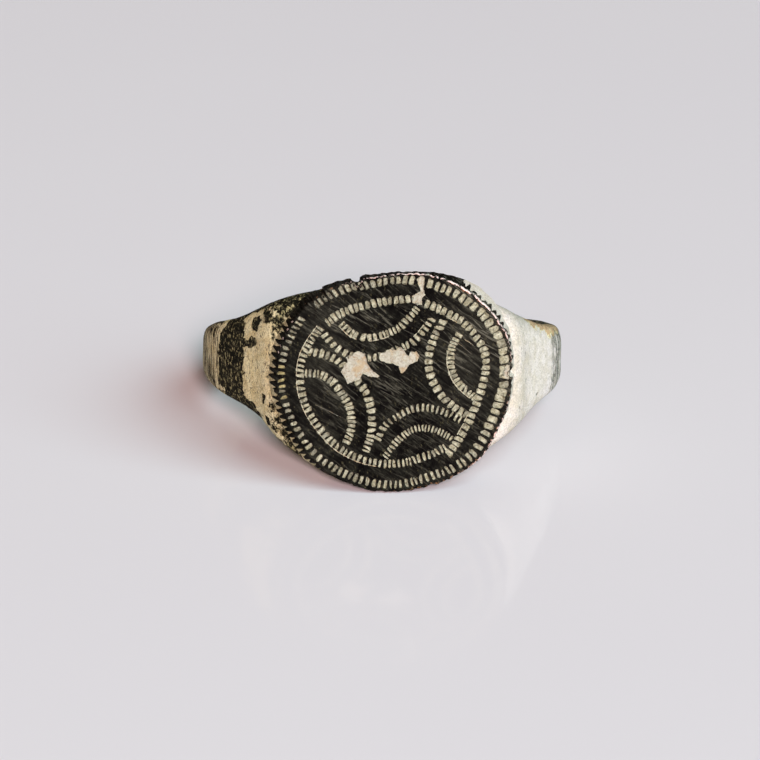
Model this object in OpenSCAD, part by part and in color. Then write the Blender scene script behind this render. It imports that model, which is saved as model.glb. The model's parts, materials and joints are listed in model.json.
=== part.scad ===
// Cast bronze finger ring with an engraved oval bezel, lying on its side.
// It is one solid piece of metal: hoop, shoulders, bezel plate, notched rim and cut ornament.
// The ring is drawn in its own frame first, with x to the right of the face, y from the face
// into the hoop and z along the finger hole. It is then tipped to the attitude it rests in.

/* [Hoop] */
// Radius of the finger hole
bore_r = 9.15; // [8.6:0.05:9.4]
// Width of the hoop across its two sides
hoop_w = 21; // [20.6:0.1:22]
// Thickness of the metal at the back of the hoop
back_t = 1.25; // [1:0.05:1.6]
// Width of the band at the back of the hoop
back_w = 2.3; // [1.8:0.1:3]
// Angle from the bezel at which the straight shoulders meet the round hoop
shoulder_a = 64; // [60:1:70]

/* [Bezel] */
// Width of the face, along the hoop
face_w = 13.6; // [13:0.1:14]
// Height of the face, along the finger hole
face_h = 12.6; // [12:0.1:13]
// Distance from the middle of the finger hole to the face
face_reach = 10.4; // [10.2:0.1:10.8]
// Thickness of the plate at its rim
plate_t = 1.2; // [1:0.05:1.4]

/* [Rim notches] */
// Number of file cuts round the rim
notch_n = 106; // [80:1:120]
// Depth of a file cut at the edge of the face
notch_d = 0.16; // [0.05:0.01:0.25]
// Share of each step that is left uncut
notch_land = 0.35; // [0.2:0.05:0.6]

/* [Engraving] */
// Depth of the engraved strokes
cut_d = 0.12; // [0.06:0.01:0.2]
// Width of a stroke as a share of the step between its neighbours
cut_share = 0.66; // [0.5:0.02:0.7]
// Mean length of a border stroke
border_l = 0.5; // [0.4:0.02:0.54]
// Depth of the chipped places
chip_d = 0.1; // [0.05:0.01:0.15]

/* [Hidden] */

side_r = hoop_w / 2;
back_r = bore_r + back_t;
plate_y = -face_reach + plate_t;
// The hoop runs this far into the plate, so that the two are one metal
overlap = 0.4;
// The hoop is drawn this far inside the finger hole, which is then cut out of it
bore_skin = 0.5;
hoop_steps = 96;
// Rounding of the corner where the shoulder comes out from under the plate
corner_blend = 1.2;
// Round edge left along both sides of the band
edge_r = 0.3;
// Angles round the outside of the band's cross-section, from its lower edge to its upper edge
SECTION_TURNS = [-90, -72, -52, -28, 0, 28, 52, 72, 90];
// Powers that flatten the round cross-section: towards the outside, and towards both edges
outside_power = 0.45;
edge_power = 0.6;
bore_sides = 128;
// Cuts start this far in front of the face
cut_above = 0.3;
// Share of the plate's thickness that a bite out of the rim takes
bite_share = 0.7;

// Edges of the band on either side of its middle plane.
// Columns: angle from the bezel, upper edge, lower edge
RIGHT_EDGES = [
    [0, 5.6, -5.5], [18, 5.3, -5.2], [27, 4.85, -4.65], [36, 4.1, -3.65], [44, 3.45, -3.0],
    [53, 2.9, -2.4], [63, 2.4, -2.05], [76, 2.0, -1.8], [90, 1.75, -1.6],
    [112, 1.45, -1.35], [145, back_w / 2, -back_w / 2], [180, back_w / 2, -back_w / 2]
];
LEFT_EDGES = [
    [0, 5.6, -5.5], [18, 5.35, -5.2], [27, 5.1, -5.0], [36, 4.75, -3.85], [44, 4.2, -2.75],
    [53, 3.55, -2.15], [63, 2.95, -1.85], [76, 2.45, -1.55], [90, 1.9, -1.35],
    [112, 1.5, -1.3], [145, back_w / 2, -back_w / 2], [180, back_w / 2, -back_w / 2]
];

// The rim, which wanders out of a true oval. Columns: angle from the right-hand end of the
// face, distance of its edge outside the oval, distance from the edge in to the border's
// strokes, spread of the underside beyond the edge
RIM = [
    [0, -0.13, 0.43, 0.25], [20, 0.18, 0.48, 0.25], [45, 0.22, 0.53, 0.46], [65, 0.2, 0.57, 0.12],
    [78, 0.11, 0.46, -0.06], [90, -0.07, 0.33, -0.04], [105, -0.11, 0.36, 0],
    [120, 0.12, 0.38, 0.02], [135, 0.21, 0.38, 0.2], [155, 0.17, 0.33, 0.3],
    [175, 0.06, 0.31, 0.3], [190, -0.11, 0.31, 0.35], [205, -0.19, 0.31, 0.4],
    [225, -0.06, 0.39, 0.3], [245, 0.04, 0.47, 0.05], [270, 0.01, 0.42, -0.2],
    [290, -0.02, 0.53, -0.1], [315, 0.05, 0.49, 0.05], [335, -0.16, 0.57, 0.2],
    [350, -0.15, 0.57, 0.25], [360, -0.13, 0.43, 0.25]
];

// Angles of the border's strokes from the right-hand end of the face. They are cut by hand
// and uneven, and wear has taken away those at the upper left
BORDER = [
    3.2, 6.7, 11.3, 15.6, 19.8, 24.3, 28, 32.1, 36.2, 39.4, 43.8, 47.8, 51.5, 55.6, 59.7, 62.9,
    66.5, 70.6, 75.5, 80.7, 84.4, 88, 91.5, 95.3, 98.7, 102.4, 106.3, 109.3, 113.1, 116.3, 119.9,
    123.3, 126.5, 129.4, 132.1, 134.5, 145.3, 147.9, 150.4, 152.9, 155.4, 158.3, 161.8, 164.9,
    168.2, 171.4, 174.6, 178.2, 181.4, 183.8, 187, 191.1, 194.3, 198, 201.8, 205.2, 209.2, 213.1,
    216.5, 220.6, 224.8, 228.6, 232, 235, 238.3, 241.5, 244.4, 247.6, 251, 254.5, 258.1, 261.3,
    264.6, 267.5, 270.3, 273, 276.4, 279.5, 281.8, 284.8, 288.2, 291.7, 294.9, 297.6, 300.6,
    303.3, 307.8, 310.4, 314.2, 317.3, 321.7, 326.1, 330.1, 334.3, 338.7, 343.1, 346.8, 350.7,
    354.4, 358.3
];

// Rows of short strokes on the face, each across its own path. Columns: length of a stroke,
// places of the strokes in percent of the path, points of the path right and up of the middle
ROWS = [
    // inner ring: top left, left and bottom, then right and top
    [0.52, [
        0.4, 7.8, 14.4, 21.2, 27.9, 34, 40.8, 48.3, 56, 61.9, 68.3, 73.4, 78.8, 84, 90.1, 95.5,
        99.6
    ], [
        [0.75, 4.8], [-0.06, 4.73], [-0.86, 4.63], [-1.65, 4.47], [-2.43, 4.26], [-3.18, 3.96],
        [-3.85, 3.5]
    ]],
    [0.5, [
        -0.6, 1.1, 2.6, 4.3, 6, 7.7, 9.8, 11.9, 14.1, 16.2, 18.1, 20.2, 22.8, 25.3, 27.9, 30.3,
        32.5, 34.5, 37.3, 39.5, 41.9, 44.3, 46.9, 49, 51.2, 53.4, 55.8, 57.5, 59.3, 61.3, 63.4,
        65.7, 67.9, 69.9, 71.9, 74, 75.8, 77.5, 79.4, 81.2, 82.7, 83.9, 85.6, 87.5, 89.8, 91.9,
        93.7, 95.3, 97.3, 98.8
    ], [
        [-4.35, 3.1], [-4.82, 2.45], [-5.2, 1.74], [-5.39, 0.97], [-5.42, 0.17], [-5.31, -0.63],
        [-5.06, -1.39], [-4.68, -2.09], [-4.21, -2.74], [-3.68, -3.34], [-3.06, -3.85],
        [-2.36, -4.24], [-1.61, -4.52], [-0.82, -4.67], [-0.02, -4.69], [0.78, -4.58],
        [1.54, -4.35], [2.3, -4.09], [3, -3.7]
    ]],
    [0.52, [
        -0.1, 3.3, 5.8, 8.8, 12.1, 16, 19.3, 22.7, 26.1, 29.5, 32.5, 35.9, 39.2, 42.8, 46.1, 48.9,
        52.2, 56, 58.9, 62.3, 65.9, 69.3, 72.2, 75.1, 78.4, 81.5, 84.7, 88.3, 91.2, 94.3, 97.6
    ], [
        [3.1, -4.1], [3.56, -3.46], [3.95, -2.78], [4.32, -2.08], [4.63, -1.36], [4.89, -0.62],
        [5.1, 0.14], [5.22, 0.91], [5.11, 1.69], [4.76, 2.39], [4.29, 3.02], [3.71, 3.55],
        [3.03, 3.94], [2.32, 4.29], [1.6, 4.6]
    ]],
    // top petal: inner and outer arc
    [0.49, [
        0.6, 5.5, 10.6, 15.9, 20.6, 29.2, 36.2, 42.6, 49, 53.1, 56.4, 60.5, 65, 69.6, 74.9, 80.8,
        85.9, 91.4, 96, 99.9
    ], [
        [-3.05, 3.4], [-2.42, 2.82], [-1.61, 2.59], [-0.76, 2.73], [0.04, 3.04], [0.7, 3.59],
        [1.25, 4.25]
    ]],
    [0.48, [
        0.4, 5, 10.3, 15.6, 21.4, 26.7, 31.6, 36.4, 41.2, 45.5, 50.6, 55.7, 60.2, 64.7, 69.4,
        72.5, 76.9, 81.8, 86.9, 91.5, 95.5, 99.8
    ], [
        [-4, 2.8], [-3.48, 2.17], [-2.81, 1.7], [-2.04, 1.42], [-1.23, 1.46], [-0.43, 1.65],
        [0.31, 1.98], [1.04, 2.36], [1.61, 2.95], [2.1, 3.6]
    ]],
    // left petal: inner and outer arc
    [0.5, [
        -1.8, 2.3, 6.9, 10.9, 15, 19.6, 24.8, 29.1, 36.7, 43.2, 48.1, 52.6, 57.5, 61.5, 66.5,
        71.6, 75.7, 80.2, 85.1, 89.3, 93.3, 98.1
    ], [
        [-4.98, 0.6], [-4.22, 0.49], [-3.56, 0.06], [-3.08, -0.56], [-2.67, -1.22],
        [-2.49, -1.98], [-2.53, -2.77], [-2.8, -3.5]
    ]],
    [0.5, [
        -0.3, 3.6, 8.4, 12.9, 17.3, 22, 26.3, 30.8, 35.2, 39.7, 44.3, 50.2, 54.7, 60.3, 64.5,
        69.5, 74.8, 79.4, 84.1, 88.6, 91.5, 94.1, 97.9, 100.5
    ], [
        [-4.8, 1.8], [-3.98, 1.64], [-3.23, 1.27], [-2.65, 0.67], [-2.11, 0.05], [-1.63, -0.63],
        [-1.4, -1.43], [-1.32, -2.27], [-1.4, -3.1], [-1.65, -3.9]
    ]],
    // right petal: inner and outer arc
    [0.49, [
        4.7, 12.2, 17.3, 21.7, 26.8, 31.5, 37.9, 43.8, 50.2, 57.2, 63.8, 69.8, 75.8, 82.2, 88.7,
        95.1, 99.8, 104.4
    ], [
        [3.75, 2.85], [3.31, 2.13], [3.16, 1.3], [3.31, 0.47], [3.76, -0.25], [4.4, -0.8]
    ]],
    [0.5, [
        1, 6.8, 12, 16.4, 21.4, 26.6, 32.2, 38.8, 45.1, 51.9, 58.5, 64.9, 72.2, 77.7, 83.7, 88.8,
        94.8, 99.6
    ], [
        [2.73, 3.5], [2.34, 2.8], [2.03, 2.06], [1.92, 1.26], [2, 0.46], [2.32, -0.27],
        [2.78, -0.93], [3.37, -1.47], [4.05, -1.9]
    ]],
    // bottom petal: inner and outer arc
    [0.44, [
        -3.8, 0.6, 5.7, 11.2, 16.6, 21.7, 26.3, 31.3, 36.2, 40.3, 44.5, 49.3, 53.7, 58.2, 61.7,
        66.1, 70.8, 75.3, 79.8, 84, 88.4, 92.3, 97.1
    ], [
        [-0.45, -4.15], [0, -3.54], [0.55, -3.02], [1.21, -2.68], [1.96, -2.69], [2.67, -2.93],
        [3.3, -3.35]
    ]],
    [0.46, [
        1, 5.6, 12.7, 17.8, 23.2, 28.4, 33.4, 38.6, 44, 48.7, 54.1, 59.5, 64.3, 69.4, 74.3, 79.4,
        84.3, 89.3, 94.5, 99.1
    ], [
        [-1, -3.3], [-0.65, -2.58], [-0.02, -2.07], [0.68, -1.66], [1.46, -1.46], [2.26, -1.57],
        [3.03, -1.83], [3.75, -2.2]
    ]]
];

// Chipped places on the face. Each row is one outline, right and up of the middle
CHIPS = [
    [[-2.53, 1.71], [-2.12, 1.86], [-1.7, 1.66], [-1.59, 1.21], [-1.35, 0.8], [-0.88, 0.38],
     [-1, 0.27], [-1.53, 0.36], [-1.82, 0.5], [-2, 0.2], [-2.41, 0.06], [-2.7, -0.1],
     [-2.85, 0.2], [-3.08, 0.62], [-3.04, 0.92], [-2.7, 1.21], [-2.82, 1.45]],
    [[-0.94, 1.54], [-0.7, 1.8], [-0.18, 1.96], [0.05, 1.88], [0.26, 2.06], [0.45, 2.02],
     [0.65, 1.66], [0.76, 1.52], [0.88, 1.75], [1.24, 1.8], [1.41, 1.5], [1.29, 1.21],
     [0.82, 0.98], [0.65, 0.68], [0.38, 0.44], [0.18, 0.86], [-0.12, 1.07], [-0.47, 1.1],
     [-0.88, 1.27]],
    [[0.93, 4.97], [1.2, 5.13], [1.42, 5.25], [1.33, 5.62], [1.2, 5.93], [1.46, 6.12],
     [1.73, 6.05], [1.64, 5.5], [1.71, 5.02], [1.57, 4.86], [1.52, 4.48], [1.25, 4.38],
     [0.96, 4.59]],
    [[6.07, 0.18], [6.16, 0.52], [6.22, 0.82], [6.51, 0.96], [6.95, 0.85], [7.2, 0.6],
     [7.1, 0.2], [6.6, 0.1]]
];

// Bites out of the edge of the rim.
// Columns: angle from the right-hand end, width, depth
BITES = [[110.5, 0.5, 0.36], [129, 0.4, 0.24], [4, 0.4, 0.2]];

// Row of a table whose stretch holds the key in its first column
function row_of(table, key, i = 0) =
    i >= len(table) - 2 || key <= table[i + 1][0] ? i : row_of(table, key, i + 1);

// Slope of a column at one row, level at the first and last row
function slope_at(table, i, column) =
    i <= 0 || i >= len(table) - 1
        ? 0
        : (table[i + 1][column] - table[i - 1][column]) / (table[i + 1][0] - table[i - 1][0]);

// Value of a column at a key between two rows, on a smooth curve
function smooth(table, key, column) =
    let (
        i = row_of(table, key),
        step = table[i + 1][0] - table[i][0],
        s = (key - table[i][0]) / step,
        s2 = s * s,
        s3 = s2 * s
    )
    (2 * s3 - 3 * s2 + 1) * table[i][column]
    + (s3 - 2 * s2 + s) * step * slope_at(table, i, column)
    + (3 * s2 - 2 * s3) * table[i + 1][column]
    + (s3 - s2) * step * slope_at(table, i + 1, column);

// The lesser of two sizes, with the corner between them rounded off
function soft_min(a, b, blend) =
    let (share = max(blend - abs(a - b), 0) / blend) min(a, b) - share * share * blend / 4;

// Outer radius of the hoop: under the plate, along the straight shoulder, then round to the back
function reach(a) =
    a < shoulder_a
        ? soft_min((overlap - plate_y) / cos(a), side_r / cos(a - shoulder_a), corner_blend)
        : a < 90 ? side_r
        : side_r + (back_r - side_r) * (1 - cos(2 * (a - 90))) / 2;

// Cross-section of the band at an angle from the bezel, as radius and height.
// It runs from the inner lower edge round the outside to the inner upper edge
function section(a, edges) =
    let (
        top = smooth(edges, a, 1),
        low = smooth(edges, a, 2),
        mid = (top + low) / 2,
        half = (top - low) / 2,
        far = reach(a),
        near = bore_r + edge_r
    )
    concat(
        [[bore_r - bore_skin, low + edge_r]],
        [for (s = SECTION_TURNS) [
            near + (far - near) * pow(cos(s), outside_power),
            mid + half * sign(s) * pow(abs(sin(s)), edge_power)
        ]],
        [[bore_r - bore_skin, top - edge_r]]
    );

// Point of the hoop from an angle round it, positive on the right-hand side
function on_hoop(turn, p) = [p[0] * sin(turn), -p[0] * cos(turn), p[1]];

// Triangles between neighbouring closed loops of points; the last loop meets the first if closed
function skin(loops, size, closed) = [
    for (i = [0 : loops - (closed ? 1 : 2)])
        for (j = [0 : size - 1])
            let (
                a = i * size + j,
                b = i * size + (j + 1) % size,
                c = ((i + 1) % loops) * size + j,
                d = ((i + 1) % loops) * size + (j + 1) % size
            )
            each [[a, b, c], [b, d, c]]
];

// Radius of the face's edge at an angle from its right-hand end
function oval(a, w, h) = w * h / sqrt(pow(h * cos(a), 2) + pow(w * sin(a), 2));
function rim(a) = oval(a, face_w / 2, face_h / 2) + smooth(RIM, a, 1);
function border(a) = rim(a) - smooth(RIM, a, 2);
function rim_base(a) = rim(a) + smooth(RIM, a, 3);

// Point of a row's path at a share of its length, on a smooth curve through its points
function along(path, share) =
    let (
        last = len(path) - 1,
        t = share * last,
        i = max(min(floor(t), last - 1), 0),
        s = t - i,
        p1 = path[i],
        p2 = path[i + 1],
        p0 = i > 0 ? path[i - 1] : 2 * p1 - p2,
        p3 = i + 2 <= last ? path[i + 2] : 2 * p2 - p1
    )
    0.5 * (2 * p1 + (p2 - p0) * s + (2 * p0 - 5 * p1 + 4 * p2 - p3) * s * s
        + (3 * p1 - p0 - 3 * p2 + p3) * s * s * s);

// Step that a stroke has between its neighbours, less where one of them is much nearer
function step_at(places, i) =
    let (
        last = len(places) - 1,
        before = i > 0 ? places[i] - places[i - 1] : places[1] - places[0],
        after = i < last ? places[i + 1] - places[i] : places[last] - places[last - 1]
    )
    min((before + after) / 2, 1.3 * min(before, after));

module hoop() {
    points = [
        for (i = [0 : hoop_steps - 1])
            let (
                turn = 360 * i / hoop_steps,
                right = turn <= 180,
                a = right ? turn : 360 - turn
            )
            for (p = section(a, right ? RIGHT_EDGES : LEFT_EDGES)) on_hoop(turn, p)
    ];
    size = len(points) / hoop_steps;
    polyhedron(points, skin(hoop_steps, size, true));
}

// The bezel plate, with a file cut in each step of its rim that fades out at the underside
module plate() {
    step = 360 / notch_n;
    places = [
        for (i = [0 : notch_n - 1])
            each [
                [i * step, 0],
                [(i + notch_land) * step, 0],
                [(i + (1 + notch_land) / 2) * step, notch_d]
            ]
    ];
    count = len(places);
    edge = [for (p = places) let (r = rim(p[0]) - p[1]) [r * cos(p[0]), -face_reach, r * sin(p[0])]];
    foot = [for (p = places) let (r = rim_base(p[0])) [r * cos(p[0]), plate_y, r * sin(p[0])]];
    middle = [[0, -face_reach, 0], [0, plate_y, 0]];
    caps = [
        for (j = [0 : count - 1])
            let (next = (j + 1) % count)
            each [[2 * count, next, j], [2 * count + 1, count + j, count + next]]
    ];
    polyhedron(concat(edge, foot, middle), concat(skin(2, count, false), caps));
}

// One engraved stroke, across a path that heads the given way
module stroke(at, heading, long, wide) {
    translate([at[0], -face_reach, at[1]])
        rotate([0, -heading, 0])
            translate([-wide / 2, -cut_above, -long / 2])
                cube([wide, cut_above + cut_d, long]);
}

// The border's strokes are a tenth longer at the right and a tenth shorter at the left
module border_strokes() {
    for (i = [0 : len(BORDER) - 1]) {
        a = BORDER[i];
        r = border(a);
        long = border_l * (1 + 0.1 * cos(a));
        wide = step_at(BORDER, i) * r * PI / 180 * cut_share;
        stroke([r * cos(a), r * sin(a)], a + 90, long, wide);
    }
}

module row_strokes(row) {
    places = row[1];
    for (i = [0 : len(places) - 1]) {
        here = along(row[2], places[i] / 100);
        way = along(row[2], (places[i] + 0.5) / 100) - along(row[2], (places[i] - 0.5) / 100);
        stroke(here, atan2(way[1], way[0]), row[0], step_at(places, i) * norm(way) * cut_share);
    }
}

module chips() {
    for (outline = CHIPS)
        translate([0, -face_reach + chip_d, 0])
            rotate([90, 0, 0])
                linear_extrude(chip_d + cut_above)
                    polygon(outline);
}

module bites() {
    for (b = BITES)
        rotate([0, -b[0], 0])
            translate([rim(b[0]) - b[2], -face_reach - cut_above, -b[1] / 2])
                cube([plate_t, cut_above + plate_t * bite_share, b[1]]);
}

module finger_hole() {
    translate([0, 0, -face_h])
        cylinder(h = 2 * face_h, r = bore_r, $fn = bore_sides);
}

// The ring rests on the lowest part of the rim and on the lower edge of the band's back
front_low = rim_base(270);
back_section = section(180, RIGHT_EDGES);
back_corner = back_section[2];
tilt = atan((front_low + back_corner[1]) / (back_corner[0] - plate_y));
lift = front_low * cos(tilt) + plate_y * sin(tilt);
front_y = -face_reach * cos(tilt) - rim(270) * sin(tilt);
back_y = max([for (p = back_section) p[0] * cos(tilt) + p[1] * sin(tilt)]);
middle_y = (front_y + back_y) / 2;

module at_rest() {
    translate([0, -middle_y, lift])
        rotate([-tilt, 0, 0])
            children();
}

module ring() {
    color([0.24, 0.22, 0.19])
        at_rest()
            difference() {
                union() {
                    hoop();
                    plate();
                }
                finger_hole();
                border_strokes();
                for (row = ROWS) row_strokes(row);
                chips();
                bites();
            }
}

ring();
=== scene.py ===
import json
import logging
import math
import random
from dataclasses import dataclass, replace
from enum import Enum
from typing import NamedTuple, Sequence

import bpy
import numpy as np
from mathutils import Matrix, Vector, noise
from mathutils.geometry import delaunay_2d_cdt


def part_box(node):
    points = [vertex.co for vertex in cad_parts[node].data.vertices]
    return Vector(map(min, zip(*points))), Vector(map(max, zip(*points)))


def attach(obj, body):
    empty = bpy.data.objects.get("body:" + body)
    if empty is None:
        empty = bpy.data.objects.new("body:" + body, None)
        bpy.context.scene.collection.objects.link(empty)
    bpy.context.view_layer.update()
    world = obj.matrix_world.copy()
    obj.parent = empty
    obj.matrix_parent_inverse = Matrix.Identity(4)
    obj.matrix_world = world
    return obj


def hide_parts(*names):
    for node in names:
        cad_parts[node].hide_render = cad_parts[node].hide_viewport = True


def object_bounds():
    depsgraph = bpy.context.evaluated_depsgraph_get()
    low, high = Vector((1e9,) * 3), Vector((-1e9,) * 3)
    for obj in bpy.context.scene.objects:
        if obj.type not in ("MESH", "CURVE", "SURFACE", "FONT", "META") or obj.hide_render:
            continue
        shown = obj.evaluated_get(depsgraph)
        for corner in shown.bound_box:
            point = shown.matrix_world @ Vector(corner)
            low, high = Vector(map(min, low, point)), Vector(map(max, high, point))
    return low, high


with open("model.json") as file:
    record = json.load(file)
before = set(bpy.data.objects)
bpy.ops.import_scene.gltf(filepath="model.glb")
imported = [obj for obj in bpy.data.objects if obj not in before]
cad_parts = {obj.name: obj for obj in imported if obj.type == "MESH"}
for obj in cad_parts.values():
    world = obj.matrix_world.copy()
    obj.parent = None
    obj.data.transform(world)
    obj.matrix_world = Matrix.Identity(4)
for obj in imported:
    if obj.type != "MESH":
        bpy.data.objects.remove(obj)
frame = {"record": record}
CAD_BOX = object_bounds()
MM = 0.001
TINY = 1e-12

log = logging.getLogger("bronze_ring")

Point = tuple[float, float]
Span = tuple[float, float]
Size = tuple[float, float, float]
Rgb = tuple[int, int, int]
Colour = tuple[float, float, float, float]
Feed = bpy.types.NodeSocket | float | Sequence[float]
Setting = str | bool | bpy.types.NodeTree


class Tone(Enum):
    """Kind of deposit that lies in a cut, as its place on the colour ramp of the deposits."""

    GREY = 0.0
    CREAM = 0.35
    CHALK = 0.7
    RUST = 1.0


class Kind(Enum):
    """Kind of value that a socket of a node group holds."""

    VALUE = "NodeSocketFloat"
    VECTOR = "NodeSocketVector"
    COLOUR = "NodeSocketColor"


class Blend(Enum):
    """How one colour is laid over another."""

    MIX = "MIX"
    MULTIPLY = "MULTIPLY"


class BandEdge(NamedTuple):
    """Edges of the band at an angle from the bezel, in degrees and millimetres."""

    angle: float
    upper: float
    lower: float


class RimRow(NamedTuple):
    """The rim at an angle from the right-hand end of the face, in degrees and millimetres."""

    angle: float
    outside: float
    border_inset: float
    foot_spread: float


class StrokeRow(NamedTuple):
    """A row of strokes across a path on the face.

    The share is the strokes' width against the step between them, and the places are in percent
    of the path.
    """

    length: float
    share: float
    places: tuple[float, ...]
    path: tuple[Point, ...]


class Thread(NamedTuple):
    """A thin line of deposit that joins the strokes of a row at one side, between two places."""

    row: int
    first: float
    last: float
    side: float


class Bite(NamedTuple):
    """A bite out of the edge of the rim."""

    angle: float
    width: float
    depth: float


class BorderLook(NamedTuple):
    """How wide the border's strokes are against their step, and how full, at an angle."""

    angle: float
    share: float
    fill: float


class DullStroke(NamedTuple):
    """A stroke of the border, by its angle, that holds less deposit or one of another tone."""

    angle: float
    fill: float
    tone: Tone


class Scratch(NamedTuple):
    """A single deep scratch on the face, and how much pale dust it holds."""

    start: Point
    end: Point
    width: float
    fill: float


class Cover(NamedTuple):
    """How much deposit the band holds at a turn from the bezel, negative to the left."""

    turn: float
    cover: float
    warmth: float
    streak: float


class BareSpot(NamedTuple):
    """A place on the band where the deposit has come off, as a rounded oblong."""

    turn: float
    height: float
    half_turn: float
    half_height: float
    strength: float


class RimWear(NamedTuple):
    """Look of the rim's side at an angle from the right-hand end of the face."""

    angle: float
    cover: float
    tooth: float
    rubbed: float
    rubbed_depth: float
    notch: float


class RimCrumb(NamedTuple):
    """A pale crumb of deposit on the rim's side, by its angle and half the angle that it spans."""

    angle: float
    half: float


class Ripple(NamedTuple):
    """One unevenness of the rim: how far it goes, its waves round the face and its shift."""

    size: float
    waves: float
    shift: float


class Pattern(NamedTuple):
    """A fractal noise: its bumps per millimetre, its layers of detail and their roughness."""

    scale: Feed
    detail: float
    rough: float


# the ring's outline
RIGHT_EDGES = (
    BandEdge(0, 5.6, -5.5), BandEdge(18, 5.3, -5.2), BandEdge(27, 4.85, -4.65),
    BandEdge(36, 4.1, -3.65), BandEdge(44, 3.45, -3.0), BandEdge(53, 2.9, -2.4),
    BandEdge(63, 2.4, -2.05), BandEdge(76, 2.0, -1.8), BandEdge(90, 1.75, -1.6),
    BandEdge(112, 1.45, -1.35), BandEdge(145, 1.15, -1.15), BandEdge(180, 1.15, -1.15),
)
LEFT_EDGES = (
    BandEdge(0, 5.6, -5.5), BandEdge(18, 5.35, -5.2), BandEdge(27, 5.1, -5.0),
    BandEdge(36, 4.75, -3.85), BandEdge(44, 4.2, -2.75), BandEdge(53, 3.55, -2.15),
    BandEdge(63, 2.95, -1.85), BandEdge(76, 2.45, -1.55), BandEdge(90, 1.9, -1.35),
    BandEdge(112, 1.5, -1.3), BandEdge(145, 1.15, -1.15), BandEdge(180, 1.15, -1.15),
)
RIM = (
    RimRow(0, -0.13, 0.43, 0.25), RimRow(20, 0.18, 0.48, 0.25), RimRow(45, 0.22, 0.53, 0.46),
    RimRow(65, 0.2, 0.57, 0.12), RimRow(78, 0.11, 0.46, -0.06), RimRow(90, -0.07, 0.33, -0.04),
    RimRow(105, -0.11, 0.36, 0), RimRow(120, 0.12, 0.38, 0.02), RimRow(135, 0.21, 0.38, 0.2),
    RimRow(155, 0.17, 0.33, 0.3), RimRow(175, 0.06, 0.31, 0.3), RimRow(190, -0.11, 0.31, 0.35),
    RimRow(205, -0.19, 0.31, 0.4), RimRow(225, -0.06, 0.39, 0.3), RimRow(245, 0.04, 0.47, 0.05),
    RimRow(270, 0.01, 0.42, -0.2), RimRow(290, -0.02, 0.53, -0.1), RimRow(315, 0.05, 0.49, 0.05),
    RimRow(335, -0.16, 0.57, 0.2), RimRow(350, -0.15, 0.57, 0.25), RimRow(360, -0.13, 0.43, 0.25),
)

# the engraving: angles of the border's strokes, rows, threads, chips and bites
BORDER = (
    3.2, 6.7, 11.3, 15.6, 19.8, 24.3, 28, 32.1, 36.2, 39.4, 43.8, 47.8, 51.5, 55.6, 59.7, 62.9,
    66.5, 70.6, 75.5, 80.7, 84.4, 88, 91.5, 95.3, 98.7, 102.4, 106.3, 109.3, 113.1, 116.3, 119.9,
    123.3, 126.5, 129.4, 132.1, 134.5, 145.3, 147.9, 150.4, 152.9, 155.4, 158.3, 161.8, 164.9,
    168.2, 171.4, 174.6, 178.2, 181.4, 183.8, 187, 191.1, 194.3, 198, 201.8, 205.2, 209.2, 213.1,
    216.5, 220.6, 224.8, 228.6, 232, 235, 238.3, 241.5, 244.4, 247.6, 251, 254.5, 258.1, 261.3,
    264.6, 267.5, 270.3, 273, 276.4, 279.5, 281.8, 284.8, 288.2, 291.7, 294.9, 297.6, 300.6,
    303.3, 307.8, 310.4, 314.2, 317.3, 321.7, 326.1, 330.1, 334.3, 338.7, 343.1, 346.8, 350.7,
    354.4, 358.3,
)

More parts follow.
